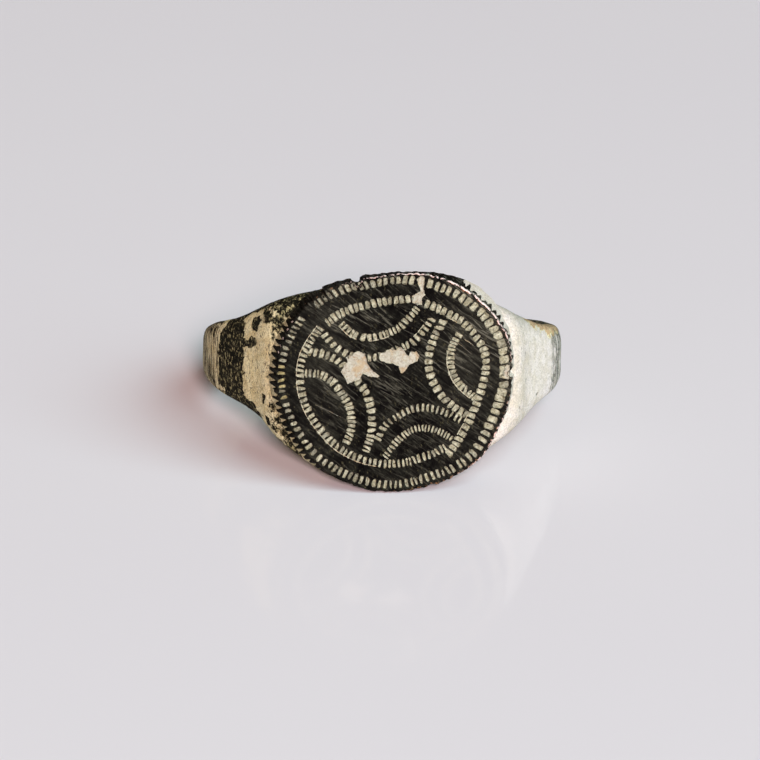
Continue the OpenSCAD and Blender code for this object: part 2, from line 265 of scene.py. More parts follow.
ROWS = (
    # inner ring: top left, left and bottom, then right and top
    StrokeRow(0.52, 0.84, (
        0.4, 7.8, 14.4, 21.2, 27.9, 34, 40.8, 48.3, 56, 61.9, 68.3, 73.4, 78.8, 84, 90.1, 95.5,
        99.6
    ), (
        (0.75, 4.8), (-0.06, 4.73), (-0.86, 4.63), (-1.65, 4.47), (-2.43, 4.26), (-3.18, 3.96),
        (-3.85, 3.5))),
    StrokeRow(0.5, 0.68, (
        -0.6, 1.1, 2.6, 4.3, 6, 7.7, 9.8, 11.9, 14.1, 16.2, 18.1, 20.2, 22.8, 25.3, 27.9, 30.3,
        32.5, 34.5, 37.3, 39.5, 41.9, 44.3, 46.9, 49, 51.2, 53.4, 55.8, 57.5, 59.3, 61.3, 63.4,
        65.7, 67.9, 69.9, 71.9, 74, 75.8, 77.5, 79.4, 81.2, 82.7, 83.9, 85.6, 87.5, 89.8, 91.9,
        93.7, 95.3, 97.3, 98.8
    ), (
        (-4.35, 3.1), (-4.82, 2.45), (-5.2, 1.74), (-5.39, 0.97), (-5.42, 0.17), (-5.31, -0.63),
        (-5.06, -1.39), (-4.68, -2.09), (-4.21, -2.74), (-3.68, -3.34), (-3.06, -3.85),
        (-2.36, -4.24), (-1.61, -4.52), (-0.82, -4.67), (-0.02, -4.69), (0.78, -4.58),
        (1.54, -4.35), (2.3, -4.09), (3, -3.7))),
    StrokeRow(0.52, 0.82, (
        -0.1, 3.3, 5.8, 8.8, 12.1, 16, 19.3, 22.7, 26.1, 29.5, 32.5, 35.9, 39.2, 42.8, 46.1, 48.9,
        52.2, 56, 58.9, 62.3, 65.9, 69.3, 72.2, 75.1, 78.4, 81.5, 84.7, 88.3, 91.2, 94.3, 97.6
    ), (
        (3.1, -4.1), (3.56, -3.46), (3.95, -2.78), (4.32, -2.08), (4.63, -1.36), (4.89, -0.62),
        (5.1, 0.14), (5.22, 0.91), (5.11, 1.69), (4.76, 2.39), (4.29, 3.02), (3.71, 3.55),
        (3.03, 3.94), (2.32, 4.29), (1.6, 4.6))),
    # top petal: inner and outer arc
    StrokeRow(0.49, 0.79, (
        0.6, 5.5, 10.6, 15.9, 20.6, 29.2, 36.2, 42.6, 49, 53.1, 56.4, 60.5, 65, 69.6, 74.9, 80.8,
        85.9, 91.4, 96, 99.9
    ), (
        (-3.05, 3.4), (-2.42, 2.82), (-1.61, 2.59), (-0.76, 2.73), (0.04, 3.04), (0.7, 3.59),
        (1.25, 4.25))),
    StrokeRow(0.48, 0.67, (
        0.4, 5, 10.3, 15.6, 21.4, 26.7, 31.6, 36.4, 41.2, 45.5, 50.6, 55.7, 60.2, 64.7, 69.4,
        72.5, 76.9, 81.8, 86.9, 91.5, 95.5, 99.8
    ), (
        (-4, 2.8), (-3.48, 2.17), (-2.81, 1.7), (-2.04, 1.42), (-1.23, 1.46), (-0.43, 1.65),
        (0.31, 1.98), (1.04, 2.36), (1.61, 2.95), (2.1, 3.6))),
    # left petal: inner and outer arc
    StrokeRow(0.5, 0.83, (
        -1.8, 2.3, 6.9, 10.9, 15, 19.6, 24.8, 29.1, 36.7, 43.2, 48.1, 52.6, 57.5, 61.5, 66.5,
        71.6, 75.7, 80.2, 85.1, 89.3, 93.3, 98.1
    ), (
        (-4.98, 0.6), (-4.22, 0.49), (-3.56, 0.06), (-3.08, -0.56), (-2.67, -1.22),
        (-2.49, -1.98), (-2.53, -2.77), (-2.8, -3.5))),
    StrokeRow(0.5, 0.75, (
        -0.3, 3.6, 8.4, 12.9, 17.3, 22, 26.3, 30.8, 35.2, 39.7, 44.3, 50.2, 54.7, 60.3, 64.5,
        69.5, 74.8, 79.4, 84.1, 88.6, 91.5, 94.1, 97.9, 100.5
    ), (
        (-4.8, 1.8), (-3.98, 1.64), (-3.23, 1.27), (-2.65, 0.67), (-2.11, 0.05), (-1.63, -0.63),
        (-1.4, -1.43), (-1.32, -2.27), (-1.4, -3.1), (-1.65, -3.9))),
    # right petal: inner and outer arc
    StrokeRow(0.49, 0.89, (
        4.7, 12.2, 17.3, 21.7, 26.8, 31.5, 37.9, 43.8, 50.2, 57.2, 63.8, 69.8, 75.8, 82.2, 88.7,
        95.1, 99.8, 104.4
    ), (
        (3.75, 2.85), (3.31, 2.13), (3.16, 1.3), (3.31, 0.47), (3.76, -0.25), (4.4, -0.8))),
    StrokeRow(0.5, 0.79, (
        1, 6.8, 12, 16.4, 21.4, 26.6, 32.2, 38.8, 45.1, 51.9, 58.5, 64.9, 72.2, 77.7, 83.7, 88.8,
        94.8, 99.6
    ), (
        (2.73, 3.5), (2.34, 2.8), (2.03, 2.06), (1.92, 1.26), (2, 0.46), (2.32, -0.27),
        (2.78, -0.93), (3.37, -1.47), (4.05, -1.9))),
    # bottom petal: inner and outer arc
    StrokeRow(0.44, 0.7, (
        -3.8, 0.6, 5.7, 11.2, 16.6, 21.7, 26.3, 31.3, 36.2, 40.3, 44.5, 49.3, 53.7, 58.2, 61.7,
        66.1, 70.8, 75.3, 79.8, 84, 88.4, 92.3, 97.1
    ), (
        (-0.45, -4.15), (0, -3.54), (0.55, -3.02), (1.21, -2.68), (1.96, -2.69), (2.67, -2.93),
        (3.3, -3.35))),
    StrokeRow(0.46, 0.6, (
        1, 5.6, 12.7, 17.8, 23.2, 28.4, 33.4, 38.6, 44, 48.7, 54.1, 59.5, 64.3, 69.4, 74.3, 79.4,
        84.3, 89.3, 94.5, 99.1
    ), (
        (-1, -3.3), (-0.65, -2.58), (-0.02, -2.07), (0.68, -1.66), (1.46, -1.46), (2.26, -1.57),
        (3.03, -1.83), (3.75, -2.2))),
)

THREADS = (
    Thread(1, -0.8, 30, -1), Thread(1, 31, 72, -1), Thread(3, 0.5, 24, -1), Thread(3, 36, 58, -1),
    Thread(4, 79, 96, 1), Thread(7, 30, 101, -1), Thread(2, 10, 22, 1), Thread(2, 79, 84, 1),
)

CHIPS = (
    ((-2.53, 1.71), (-2.12, 1.86), (-1.7, 1.66), (-1.59, 1.21), (-1.35, 0.8), (-0.88, 0.38),
     (-1, 0.27), (-1.53, 0.36), (-1.82, 0.5), (-2, 0.2), (-2.41, 0.06), (-2.7, -0.1),
     (-2.85, 0.2), (-3.08, 0.62), (-3.04, 0.92), (-2.7, 1.21), (-2.82, 1.45)),
    ((-0.94, 1.54), (-0.7, 1.8), (-0.18, 1.96), (0.05, 1.88), (0.26, 2.06), (0.45, 2.02),
     (0.65, 1.66), (0.76, 1.52), (0.88, 1.75), (1.24, 1.8), (1.41, 1.5), (1.29, 1.21),
     (0.82, 0.98), (0.65, 0.68), (0.38, 0.44), (0.18, 0.86), (-0.12, 1.07), (-0.47, 1.1),
     (-0.88, 1.27)),
    ((0.93, 4.97), (1.2, 5.13), (1.42, 5.25), (1.33, 5.62), (1.2, 5.93), (1.46, 6.12),
     (1.73, 6.05), (1.64, 5.5), (1.71, 5.02), (1.57, 4.86), (1.52, 4.48), (1.25, 4.38),
     (0.96, 4.59)),
    ((6.07, 0.18), (6.16, 0.52), (6.22, 0.82), (6.51, 0.96), (6.95, 0.85), (7.2, 0.6),
     (7.1, 0.2), (6.6, 0.1)),
)
BITES = (Bite(110.5, 0.5, 0.36), Bite(129, 0.4, 0.24), Bite(4, 0.4, 0.2))

# what lies in the strokes, and the deep scratches
BORDER_LOOKS = (
    BorderLook(0, 0.97, 0.92), BorderLook(25, 0.97, 0.94), BorderLook(55, 0.72, 0.78),
    BorderLook(78, 0.7, 0.6), BorderLook(100, 0.74, 0.4), BorderLook(135, 0.64, 0.34),
    BorderLook(160, 0.58, 0.3), BorderLook(200, 0.56, 0.34), BorderLook(250, 0.64, 0.52),
    BorderLook(290, 0.58, 0.52), BorderLook(325, 0.66, 0.66), BorderLook(360, 0.97, 0.92),
)
DULL_STROKES = (
    DullStroke(19.8, 0.32, Tone.CREAM), DullStroke(102.4, 0.28, Tone.CREAM),
    DullStroke(106.3, 0.3, Tone.CREAM), DullStroke(113.1, 0.26, Tone.CREAM),
    DullStroke(145.3, 0.3, Tone.CREAM), DullStroke(161.8, 0.28, Tone.CREAM),
    DullStroke(164.9, 0.32, Tone.CREAM), DullStroke(168.2, 0.28, Tone.CREAM),
    DullStroke(171.4, 0.4, Tone.RUST), DullStroke(174.6, 0.44, Tone.RUST),
    DullStroke(178.2, 0.5, Tone.RUST), DullStroke(181.4, 0.44, Tone.RUST),
    DullStroke(187, 0.4, Tone.RUST), DullStroke(194.3, 0.28, Tone.CREAM),
    DullStroke(209.2, 0.3, Tone.CREAM), DullStroke(220.6, 0.26, Tone.CREAM),
    DullStroke(228.6, 0.32, Tone.CREAM), DullStroke(244.4, 0.2, Tone.CREAM),
    DullStroke(247.6, 0.3, Tone.CREAM), DullStroke(317.3, 0.34, Tone.CREAM),
    DullStroke(358.3, 0.36, Tone.CREAM),
)
SCRATCHES = (
    Scratch((-4.8, -1.1), (-2.8, -2.1), 0.05, 0.5),
    Scratch((3.75, 2.6), (4.75, 1.9), 0.06, 0.55),
    Scratch((3.4, 2.4), (4.5, 1.5), 0.04, 0.45),
)

# deposit on the band, and the look of the rim's side
LEFT_COVER = (
    Cover(-180, 0.46, 0.65, 0.2), Cover(-120, 0.5, 0.7, 0.5), Cover(-92, 0.52, 0.75, 1),
    Cover(-77, 0.5, 0.8, 1), Cover(-69, 0.53, 0.85, 0.9), Cover(-63, 0.8, 0.9, 0.5),
    Cover(-36, 0.95, 0.85, 0.1), Cover(-25, 0.5, 0.8, 0), Cover(0, 0.3, 0.8, 0),
)
RIGHT_COVER = (
    Cover(0, 0.3, 0.8, 0), Cover(20, 0.3, 0.7, 0), Cover(27, 0.5, 0.5, 0), Cover(31, 0.97, 0.2, 0),
    Cover(40, 1.02, 0.14, 0.1), Cover(58, 0.92, 0.06, 0.3), Cover(63, 0.8, 0, 0.6),
    Cover(67, 0.53, 0, 0.65), Cover(80, 0.5, 0.04, 0.7), Cover(120, 0.5, 0.5, 0.5),
    Cover(180, 0.46, 0.65, 0.2),
)
BARE_SPOTS = (
    # the dark field at the left, its lower edge and its hooked end
    BareSpot(-59.4, 0.6, 7.8, 2.3, 0.62), BareSpot(-57.5, 2.7, 6.0, 0.6, 0.6),
    BareSpot(-58, -1.7, 8, 0.55, 0.9), BareSpot(-51, -1.95, 5, 0.5, 0.9),
    BareSpot(-46.5, -2.5, 3.2, 0.5, 0.9), BareSpot(-51, 1.8, 4.2, 0.2, 0.9),
    BareSpot(-46.3, 2.05, 2.2, 0.24, 0.9),
    # single dark places on the left shoulder
    BareSpot(-45.3, 3.05, 2.2, 0.42, 0.9), BareSpot(-41.5, 3.6, 3.0, 0.5, 0.4),
    BareSpot(-40.6, -1.15, 0.5, 0.35, 0.8), BareSpot(-39.7, -2.4, 0.6, 0.3, 0.8),
    BareSpot(-33, 4.9, 7, 0.8, 1.0),
    # flecks on the right shoulder
    BareSpot(42.9, 1.1, 0.45, 0.4, 0.6), BareSpot(43.2, -0.3, 0.5, 0.2, 0.7),
    BareSpot(40.5, -1.25, 0.4, 0.16, 0.8), BareSpot(39.0, -1.8, 0.5, 0.18, 0.6),
    BareSpot(53.0, -1.4, 0.8, 0.12, 0.7),
)
RIM_WEAR = (
    RimWear(0, 0.9, 0.45, 0.45, 0.15, 0.06), RimWear(20, 0.95, 0.5, 0.6, 0.04, 0.06),
    RimWear(40, 0.95, 0.42, 0.68, 0.03, 0.06), RimWear(50, 0.9, 0.52, 0.68, 0.03, 0.08),
    RimWear(57, 0.4, 0.8, 0.68, 0.03, 0.09), RimWear(66, 0.06, 1.3, 0.64, 0.03, 0.1),
    RimWear(84, 0.06, 1.3, 0.6, 0.03, 0.1), RimWear(98, 0.06, 1.3, 0.58, 0.03, 0.12),
    RimWear(118, 0.06, 1.3, 0.52, 0.04, 0.11), RimWear(132, 0.1, 1.2, 0.36, 0.04, 0.1),
    RimWear(144, 0.35, 1.1, 0.12, 0.03, 0.12), RimWear(153, 0.9, 0.95, 0.1, 0.03, 0.14),
    RimWear(185, 0.96, 0.95, 0.12, 0.05, 0.14), RimWear(212, 0.9, 1.0, 0.1, 0.03, 0.13),
    RimWear(230, 0.55, 1.1, 0.1, 0.03, 0.12), RimWear(247, 0.15, 1.2, 0.15, 0.03, 0.09),
    RimWear(270, 0.08, 1.2, 0.4, 0.06, 0.07), RimWear(300, 0.12, 1.2, 0.5, 0.1, 0.06),
    RimWear(320, 0.5, 0.6, 0.6, 0.3, 0.06), RimWear(345, 0.95, 0.4, 0.56, 0.35, 0.06),
    RimWear(360, 0.9, 0.45, 0.45, 0.15, 0.06),
)
RIM_CRUMBS = (RimCrumb(4, 2.2), RimCrumb(110.5, 0.5), RimCrumb(129, 0.4), RimCrumb(73, 1.0))
# painted highlights: angles of bright dots of the rubbed colour on the rim's side
RIM_GLINTS = (148.8, 153.2, 157.8, 161.4, 164.7)

# noises of the finishes
CRUMBS = Pattern(6.0, 4.0, 0.6)
SAND = Pattern(14.0, 4.0, 0.6)
WANDER = Pattern(1.6, 5.0, 0.65)
LIP_PATCHES = Pattern(4.0, 4.0, 0.65)
LIP_SPOTS = Pattern(3.4, 5.0, 0.65)
STAINS = Pattern(1.5, 5.0, 0.65)
SPECKS = Pattern(5.5, 3.0, 0.6)
VEINS = Pattern(2.2, 3.0, 0.6)
CRACKS = Pattern(1.0, 3.0, 0.6)
EACH_STROKE = Pattern(1.0, 2.0, 0.5)
CRUMBLING = Pattern(7.0, 3.0, 0.6)



def slope(rows: Sequence[tuple], n: int, column: int) -> float:
    """Slope of a table's column at a row.

    Args:
        rows: table whose first column rises.
        n: index of the row.
        column: index of the column that is wanted.

    Returns:
        The slope against the first column, 0 at the first and last row.
    """
    if n <= 0 or n >= len(rows) - 1:
        return 0.0
    before, after = rows[n - 1], rows[n + 1]
    return (after[column] - before[column]) / (after[0] - before[0])


def smooth(rows: Sequence[tuple], key: float, column: int) -> float:
    """Value of a column at a key between two rows, on a smooth curve.

    Args:
        rows: table whose first column rises.
        key: value in the first column's units.
        column: index of the column that is wanted.

    Returns:
        The value on a cubic curve that is level at the first and last row.
    """
    i = 0
    while i < len(rows) - 2 and key > rows[i + 1][0]:
        i += 1
    step = rows[i + 1][0] - rows[i][0]
    s = min(max((key - rows[i][0]) / step, 0.0), 1.0)
    return (
        (2 * s**3 - 3 * s**2 + 1) * rows[i][column]
        + (s**3 - 2 * s**2 + s) * step * slope(rows, i, column)
        + (3 * s**2 - 2 * s**3) * rows[i + 1][column]
        + (s**3 - s**2) * step * slope(rows, i + 1, column)
    )


def soft_min(a: float, b: float, blend: float) -> float:
    """The lesser of two sizes, with the corner between them rounded off."""
    share = max(blend - abs(a - b), 0.0) / blend
    return min(a, b) - share * share * blend / 4


def apart(angle: float, other: float) -> float:
    """Degrees between two directions, from 0 to 180."""
    return abs((angle - other + 180) % 360 - 180)


def fade(values: np.ndarray, start: float, end: float) -> np.ndarray:
    """Share that rises from 0 where the values reach the start to 1 at the end, level at both."""
    share = np.clip((values - start) / (end - start), 0.0, 1.0)
    return share * share * (3 - 2 * share)


def resample(points: Sequence[Point], count: int) -> np.ndarray:
    """Points spaced evenly along a path.

    Args:
        points: corners of the path.
        count: number of points wanted, both ends included.

    Returns:
        Array of count rows.
    """
    path = np.array(points, float)
    run = np.r_[0.0, np.cumsum(np.hypot(*np.diff(path, axis=0).T))]
    at = np.linspace(0.0, run[-1], count)
    return np.c_[np.interp(at, run, path[:, 0]), np.interp(at, run, path[:, 1])]


def grain(points: np.ndarray, scale: float, octaves: int = 3, shift: float = 0.0) -> np.ndarray:
    """Fractal noise at points in millimetres.

    Args:
        points: array of n rows of three.
        scale: bumps per millimetre.
        octaves: layers of finer noise.
        shift: moves the pattern, so that two uses differ.

    Returns:
        n values, mostly between -1 and 1.
    """
    move = Vector((shift, 2 * shift, -shift))
    return np.array([noise.fractal(Vector(p) * scale + move, 1.0, 2.0, octaves) for p in points])


@dataclass(frozen=True)
class RingFrame:
    """The frame in which the ring is drawn: x right, y into the hoop, z along the hole."""

    centre: Vector
    right: Vector
    inward: Vector
    along: Vector

    @classmethod
    def of_bore(cls, mount: dict) -> "RingFrame":
        """Frame of the finger hole.

        Args:
            mount: the record's mount for the hole.

        Returns:
            The frame, with its origin in the middle of the hole.
        """
        along = Vector(mount["axis"]).normalized()
        right = Vector((1.0, 0.0, 0.0))
        return cls(Vector(mount["pos_m"]), right, along.cross(right), along)

    def place(self, points: np.ndarray) -> np.ndarray:
        """Points in the ring's millimetres, as metres in the row's frame."""
        axes = np.array([self.right, self.inward, self.along])
        return np.array(self.centre) + points @ axes * MM

    def turn(self, direction: Sequence[float]) -> Vector:
        """A direction in the ring's frame, in the row's frame."""
        return direction[0] * self.right + direction[1] * self.inward + direction[2] * self.along


@dataclass(frozen=True)
class RingShape:
    """Driving sizes of the ring in millimetres and degrees, and the curves that follow from them."""

    bore_r: float
    side_r: float
    back_t: float = 1.25
    shoulder_a: float = 64.0
    side_a: float = 90.0
    corner_blend: float = 1.2
    edge_r: float = 0.3
    inner_chamfer: float = 0.11
    outside_power: float = 0.45
    edge_power: float = 0.6
    outside_steps: int = 73
    face_w: float = 13.6
    face_h: float = 12.6
    face_reach: float = 10.4
    plate_t: float = 1.2
    overlap: float = 0.4

    def reach(self, angle: float) -> float:
        """Outer radius of the hoop.

        Args:
            angle: degrees from the bezel, the same to both sides.

        Returns:
            The radius, under the plate, along the straight shoulder or round the band.
        """
        if angle < self.shoulder_a:
            under = (self.overlap + self.face_reach - self.plate_t) / math.cos(math.radians(angle))
            flank = self.side_r / math.cos(math.radians(angle - self.shoulder_a))
            return soft_min(under, flank, self.corner_blend)
        if angle < self.side_a:
            return self.side_r
        thinning = (1 - math.cos(math.radians(2 * (angle - self.side_a)))) / 2
        return self.side_r + (self.bore_r + self.back_t - self.side_r) * thinning

    def outside(self, angle: float, edges: Sequence[BandEdge]) -> list[Point]:
        """Outside of the band's section.

        Args:
            angle: degrees from the bezel.
            edges: table of the band's edges on this side.

        Returns:
            Radius and height of each point, from the lower to the upper edge.
        """
        top = smooth(edges, angle, 1)
        low = smooth(edges, angle, 2)
        middle = (top + low) / 2
        half = (top - low) / 2
        near = self.bore_r + self.edge_r
        depth = self.reach(angle) - near
        curve = [(self.bore_r, low + self.inner_chamfer)]
        for s in np.radians(np.linspace(-90, 90, self.outside_steps)):
            swell = depth * abs(math.cos(s)) ** self.outside_power
            rise = half * math.copysign(abs(math.sin(s)) ** self.edge_power, s)
            curve.append((near + swell, middle + rise))
        curve.append((self.bore_r, top - self.inner_chamfer))
        return curve

    def rim(self, angle: float) -> float:
        """Radius of the face's edge.

        Args:
            angle: degrees from the right-hand end of the face.

        Returns:
            The radius of the oval there, with the real rim's departure from it.
        """
        a = math.radians(angle)
        w, h = self.face_w / 2, self.face_h / 2
        oval = w * h / math.hypot(h * math.cos(a), w * math.sin(a))
        return oval + smooth(RIM, angle % 360, 1)

    def border(self, angle: float) -> float:
        """Radius at which the border's strokes have their middle."""
        return self.rim(angle) - smooth(RIM, angle % 360, 2)

    def foot(self, angle: float) -> float:
        """Radius of the plate's underside."""
        return self.rim(angle) + smooth(RIM, angle % 360, 3)


def make_object(name: str, points: np.ndarray, faces: list, own: RingFrame) -> bpy.types.Object:
    """Makes a smooth mesh object from points in the ring's own millimetres.

    Args:
        name: name of the object.
        points: n rows of x, y and z.
        faces: tuples of indices.
        own: the ring's frame.

    Returns:
        The object, which keeps the points in the attribute own.
    """
    mesh = bpy.data.meshes.new(name)
    mesh.from_pydata(own.place(points).tolist(), [], faces)
    write_values(mesh, "own", points)
    mesh.shade_smooth()
    obj = bpy.data.objects.new(name, mesh)
    bpy.context.scene.collection.objects.link(obj)
    return obj


def write_values(mesh: bpy.types.Mesh, name: str, values: np.ndarray) -> None:
    """Stores one number or one vector for each vertex, for the finish to read."""
    kind, field = ("FLOAT_VECTOR", "vector") if values.ndim > 1 else ("FLOAT", "value")
    mesh.attributes.new(name, kind, "POINT").data.foreach_set(field, values.astype(float).ravel())


@dataclass
class Hoop:
    """Band and shoulders of the ring, lofted round the finger hole and dressed with deposit.

    Turns are in degrees from the bezel, negative to the left. A gap is the distance in
    millimetres from the upper or the lower edge of the band.
    """

    shape: RingShape
    own: RingFrame
    turns: int = 440
    outer_points: int = 74
    inner_points: int = 20
    cast_wave: float = 0.035
    crust: float = 0.035
    bare_level: float = 0.6
    spot_edge: Span = (1.2, 0.78)
    shoulder_turns: Span = (-64.0, -30.0)
    shoulder_top_painted_shade: float = 0.8
    rim_fleck_turns: Span = (-43.5, -36.5)
    rim_fleck_loss: float = 0.46
    flank_turns: Span = (25.0, 80.0)
    flank_foot_painted_shade: float = 0.45
    lip_reach: float = 42.0
    lip_gap: Span = (0.32, 0.07)
    broad_lip: float = 0.63
    broad_lip_turn: float = 66.0
    broad_lip_reach: float = 21.0
    lip_gain: float = 0.22
    lip_loss: float = 0.1
    lip_warmth: float = 0.9
    edge_wear: float = 0.35
    edge_wear_gap: float = 0.12
    painted_shade_turns: Span = (20.0, 62.0)
    inner_cover: float = 0.61
    inner_warmth: float = 0.75
    inner_streak: float = 0.3
    inner_painted_shade: float = 0.5

    def build(self) -> bpy.types.Object:
        """Builds the band and keeps its looks on the mesh.

        Returns:
            The object.
        """
        points, turn, outer = self.loft()
        size = self.outer_points + self.inner_points
        faces = []
        for i in range(self.turns):
            here, there = i * size, (i + 1) % self.turns * size
            for j in range(size):
                k = (j + 1) % size
                faces.append((here + j, there + j, there + k, here + k))
        obj = make_object("hoop", points, faces, self.own)
        looks = self.looks(points, turn, outer)
        self.swell(obj.data, points, looks["cover"], outer)
        for name, values in looks.items():
            write_values(obj.data, name, values)
        return obj

    def loft(self) -> tuple[np.ndarray, np.ndarray, np.ndarray]:
        """Sections of the band, one after the other round the finger hole.

        Returns:
            The points, the signed turn of each and whether it lies on the outside.
        """
        rows, turns, outer = [], [], []
        for i in range(self.turns):
            turn = 360 * i / self.turns
            angle, edges = (turn, RIGHT_EDGES) if turn <= 180 else (360 - turn, LEFT_EDGES)
            outside = resample(self.shape.outside(angle, edges), self.outer_points)
            inner = np.linspace(outside[-1], outside[0], self.inner_points + 2)[1:-1]
            a = math.radians(turn)
            for k, (radius, height) in enumerate(np.r_[outside, inner]):
                rows.append((radius * math.sin(a), -radius * math.cos(a), height))
                turns.append(turn if turn <= 180 else turn - 360)
                outer.append(0 < k < self.outer_points - 1)
        return np.array(rows), np.array(turns), np.array(outer)

    def looks(
        self, points: np.ndarray, turn: np.ndarray, outer: np.ndarray
    ) -> dict[str, np.ndarray]:
        """Looks of the band's outside and inside.

        Args:
            points: points of the band in the ring's millimetres.
            turn: turn of each point from the bezel.
            outer: whether each point lies on the outside.

        Returns:
            Share of deposit, its warmth, how streaky it is, rubbed wear and painted shade, by name,
            each with one value for each point.
        """
        height = points[:, 2]
        edges = [LEFT_EDGES if t < 0 else RIGHT_EDGES for t in turn]
        gap = np.array([smooth(rows, abs(t), 1) for rows, t in zip(edges, turn)]) - height
        low_gap = height - np.array([smooth(rows, abs(t), 2) for rows, t in zip(edges, turn)])
        ragged = grain(points, 1.4, 4, 3.0)
        cover, warmth, streak = self.deposit(points, turn, (gap, low_gap), ragged)
        # painted shade: greys the deposit on the right shoulder, most near its upper edge, on the left
        # shoulder next to the bezel, and inside the hoop with a grain
        first, last = self.painted_shade_turns
        painted_shade = 0.5 * fade(turn, 50, 42) + 0.7 * fade(gap, 1.1, 0.3)
        painted_shade = np.where((turn > first) & (turn < last), painted_shade, 0.0)
        looks = {
            "cover": (cover, self.inner_cover + 0.2 * ragged),
            "warmth": (warmth, self.inner_warmth),
            "streak": (streak, self.inner_streak),
            "wear": (self.edge_wear * fade(gap, self.edge_wear_gap, 0) * (warmth > 0.5), 0.0),
            "painted_shade": (
                np.where(turn < 0, 0.6 * fade(turn, -48, -42), painted_shade),
                self.inner_painted_shade + 0.8 * grain(points, 0.9, 3, 2.0),
            ),
        }
        return {name: np.where(outer, outside, inside) for name, (outside, inside) in looks.items()}

    def deposit(
        self, points: np.ndarray, turn: np.ndarray, gaps: tuple[np.ndarray, np.ndarray],
        ragged: np.ndarray,
    ) -> tuple[np.ndarray, np.ndarray, np.ndarray]:
        """Deposit on the outside of the band.

        Args:
            points: points of the band in the ring's millimetres.
            turn: turn of each point from the bezel.
            gaps: gap of each point to the upper edge and to the lower edge.
            ragged: noise that frays the edges of the patches.

        Returns:
            Share of deposit, its warmth and how streaky it is, with one value for each point.
        """
        gap, low_gap = gaps
        tables = [LEFT_COVER if t < 0 else RIGHT_COVER for t in turn]
        cover, warmth, streak = (
            np.array([smooth(table, t, column) for table, t in zip(tables, turn)])
            for column in (1, 2, 3)
        )
        fine = grain(points, 4.5, 2, 9.0)
        for spot in BARE_SPOTS:
            across = np.abs((turn - spot.turn) / spot.half_turn)
            up = np.abs((points[:, 2] - spot.height) / spot.half_height)
            away = (across**3 + up**3) ** (1 / 3) + 0.2 * ragged + 0.14 * fine
            cover = cover - spot.strength * fade(away, *self.spot_edge)
        # painted shade: the deposit is taken off along the upper edge of the left shoulder, so the
        # dark metal shows
        first, last = self.shoulder_turns
        shade = fade(gap - 0.15 * ragged, 0.42, 0.12) * (turn > first) * (turn < last)
        cover = cover - self.shoulder_top_painted_shade * shade
        cover = cover - self.rim_fleck_loss * fade(turn, *self.rim_fleck_turns) * (turn < last)
        # painted shade: the deposit is taken off along the lower edge of the right shoulder, so the
        # dark metal shows
        first, last = self.flank_turns
        under = fade(low_gap - 0.2 * ragged, 0.25, 0) * (turn > first) * (turn < last)
        cover = cover - self.flank_foot_painted_shade * under
        from_middle = (turn - self.broad_lip_turn) / self.broad_lip_reach
        broad = self.broad_lip * np.clip(1 - from_middle**2, 0, 1) ** 0.6
        brown = fade(broad / 0.4 + 0.5 * ragged, 0, 1)
        thin_lip = fade(gap, *self.lip_gap) * (np.abs(np.abs(turn) - 90) < self.lip_reach)
        broad_lip = fade(broad - gap + 0.4 * ragged + 0.3 * fine, 0, 0.3) * fade(broad, 0, 0.2)
        lip = np.maximum(thin_lip, broad_lip)
        cover = cover + (self.lip_gain * brown - self.lip_loss) * lip
        warmth = np.maximum(warmth, self.lip_warmth * (1 + brown) * lip)
        return cover, warmth, streak

    def swell(
        self, mesh: bpy.types.Mesh, points: np.ndarray, cover: np.ndarray, outer: np.ndarray
    ) -> None:
        """Moves the outside by the unevenness of the casting and the thickness of the deposit.

        Args:
            mesh: the band's mesh.
            points: its points in the ring's millimetres.
            cover: share of deposit at each point.
            outer: whether each point lies on the outside.
        """
        normals, places = np.empty(len(points) * 3), np.empty(len(points) * 3)
        mesh.vertices.foreach_get("normal", normals)
        mesh.vertices.foreach_get("co", places)
        wave = self.cast_wave * grain(points, 0.55, 2, 5.0)
        lumps = 1 + 0.6 * grain(points, 2.6, 3, 7.0)
        rough = self.crust * (np.clip(cover, 0, 1) - self.bare_level) * lumps
        move = np.where(outer, wave + rough, 0.0) * MM
        places += (normals.reshape(-1, 3) * move[:, None]).ravel()
        mesh.vertices.foreach_set("co", places)
        mesh.update()


@dataclass(frozen=True)
class Cut:
    """A sunk place on the face: its outline, its floor's outline or line, and what lies in it."""

    outline: np.ndarray
    floor: np.ndarray
    depth: float
    wall: float
    fill: float
    tone: float
    axes: np.ndarray | None = None
    number: int = -1
    inside: np.ndarray | None = None
    lumps: float = 0.0

    def lie(self, points: np.ndarray) -> np.ndarray:
        """Where points lie in a stroke.

        Args:
            points: n rows of right and up.

        Returns:
            n rows of the place across and along, each from -1 to 1 between the stroke's sides, and
            the stroke's number. Other cuts give the points themselves and -1.
        """
        placed = points if self.axes is None else np.c_[points, np.ones(len(points))] @ self.axes
        return np.c_[placed, np.full(len(points), float(self.number))]

    def sunk(self, points: np.ndarray) -> np.ndarray:
        """How far points lie inside the outline, from 0 at its edge to 1 beyond the wall.

        Args:
            points: n rows of right and up.

        Returns:
            n values, 0 outside the outline.
        """
        start = self.outline
        end = np.roll(start, -1, axis=0)
        along = end - start
        offset = points[:, None, :] - start[None]
        share = np.clip((offset * along).sum(2) / (along * along).sum(1), 0, 1)
        away = np.linalg.norm(offset - share[..., None] * along, axis=2).min(1)
        above = start[:, 1] > points[:, 1:2]
        next_above = end[:, 1] > points[:, 1:2]
        rise = np.where(along[:, 1] == 0, TINY, along[:, 1])
        crossing = start[:, 0] + (points[:, 1:2] - start[:, 1]) / rise * along[:, 0]
        inside = ((above != next_above) & (points[:, 0:1] < crossing)).sum(1) % 2 == 1
        return np.where(inside, np.clip(away / self.wall, 0, 1), 0.0)


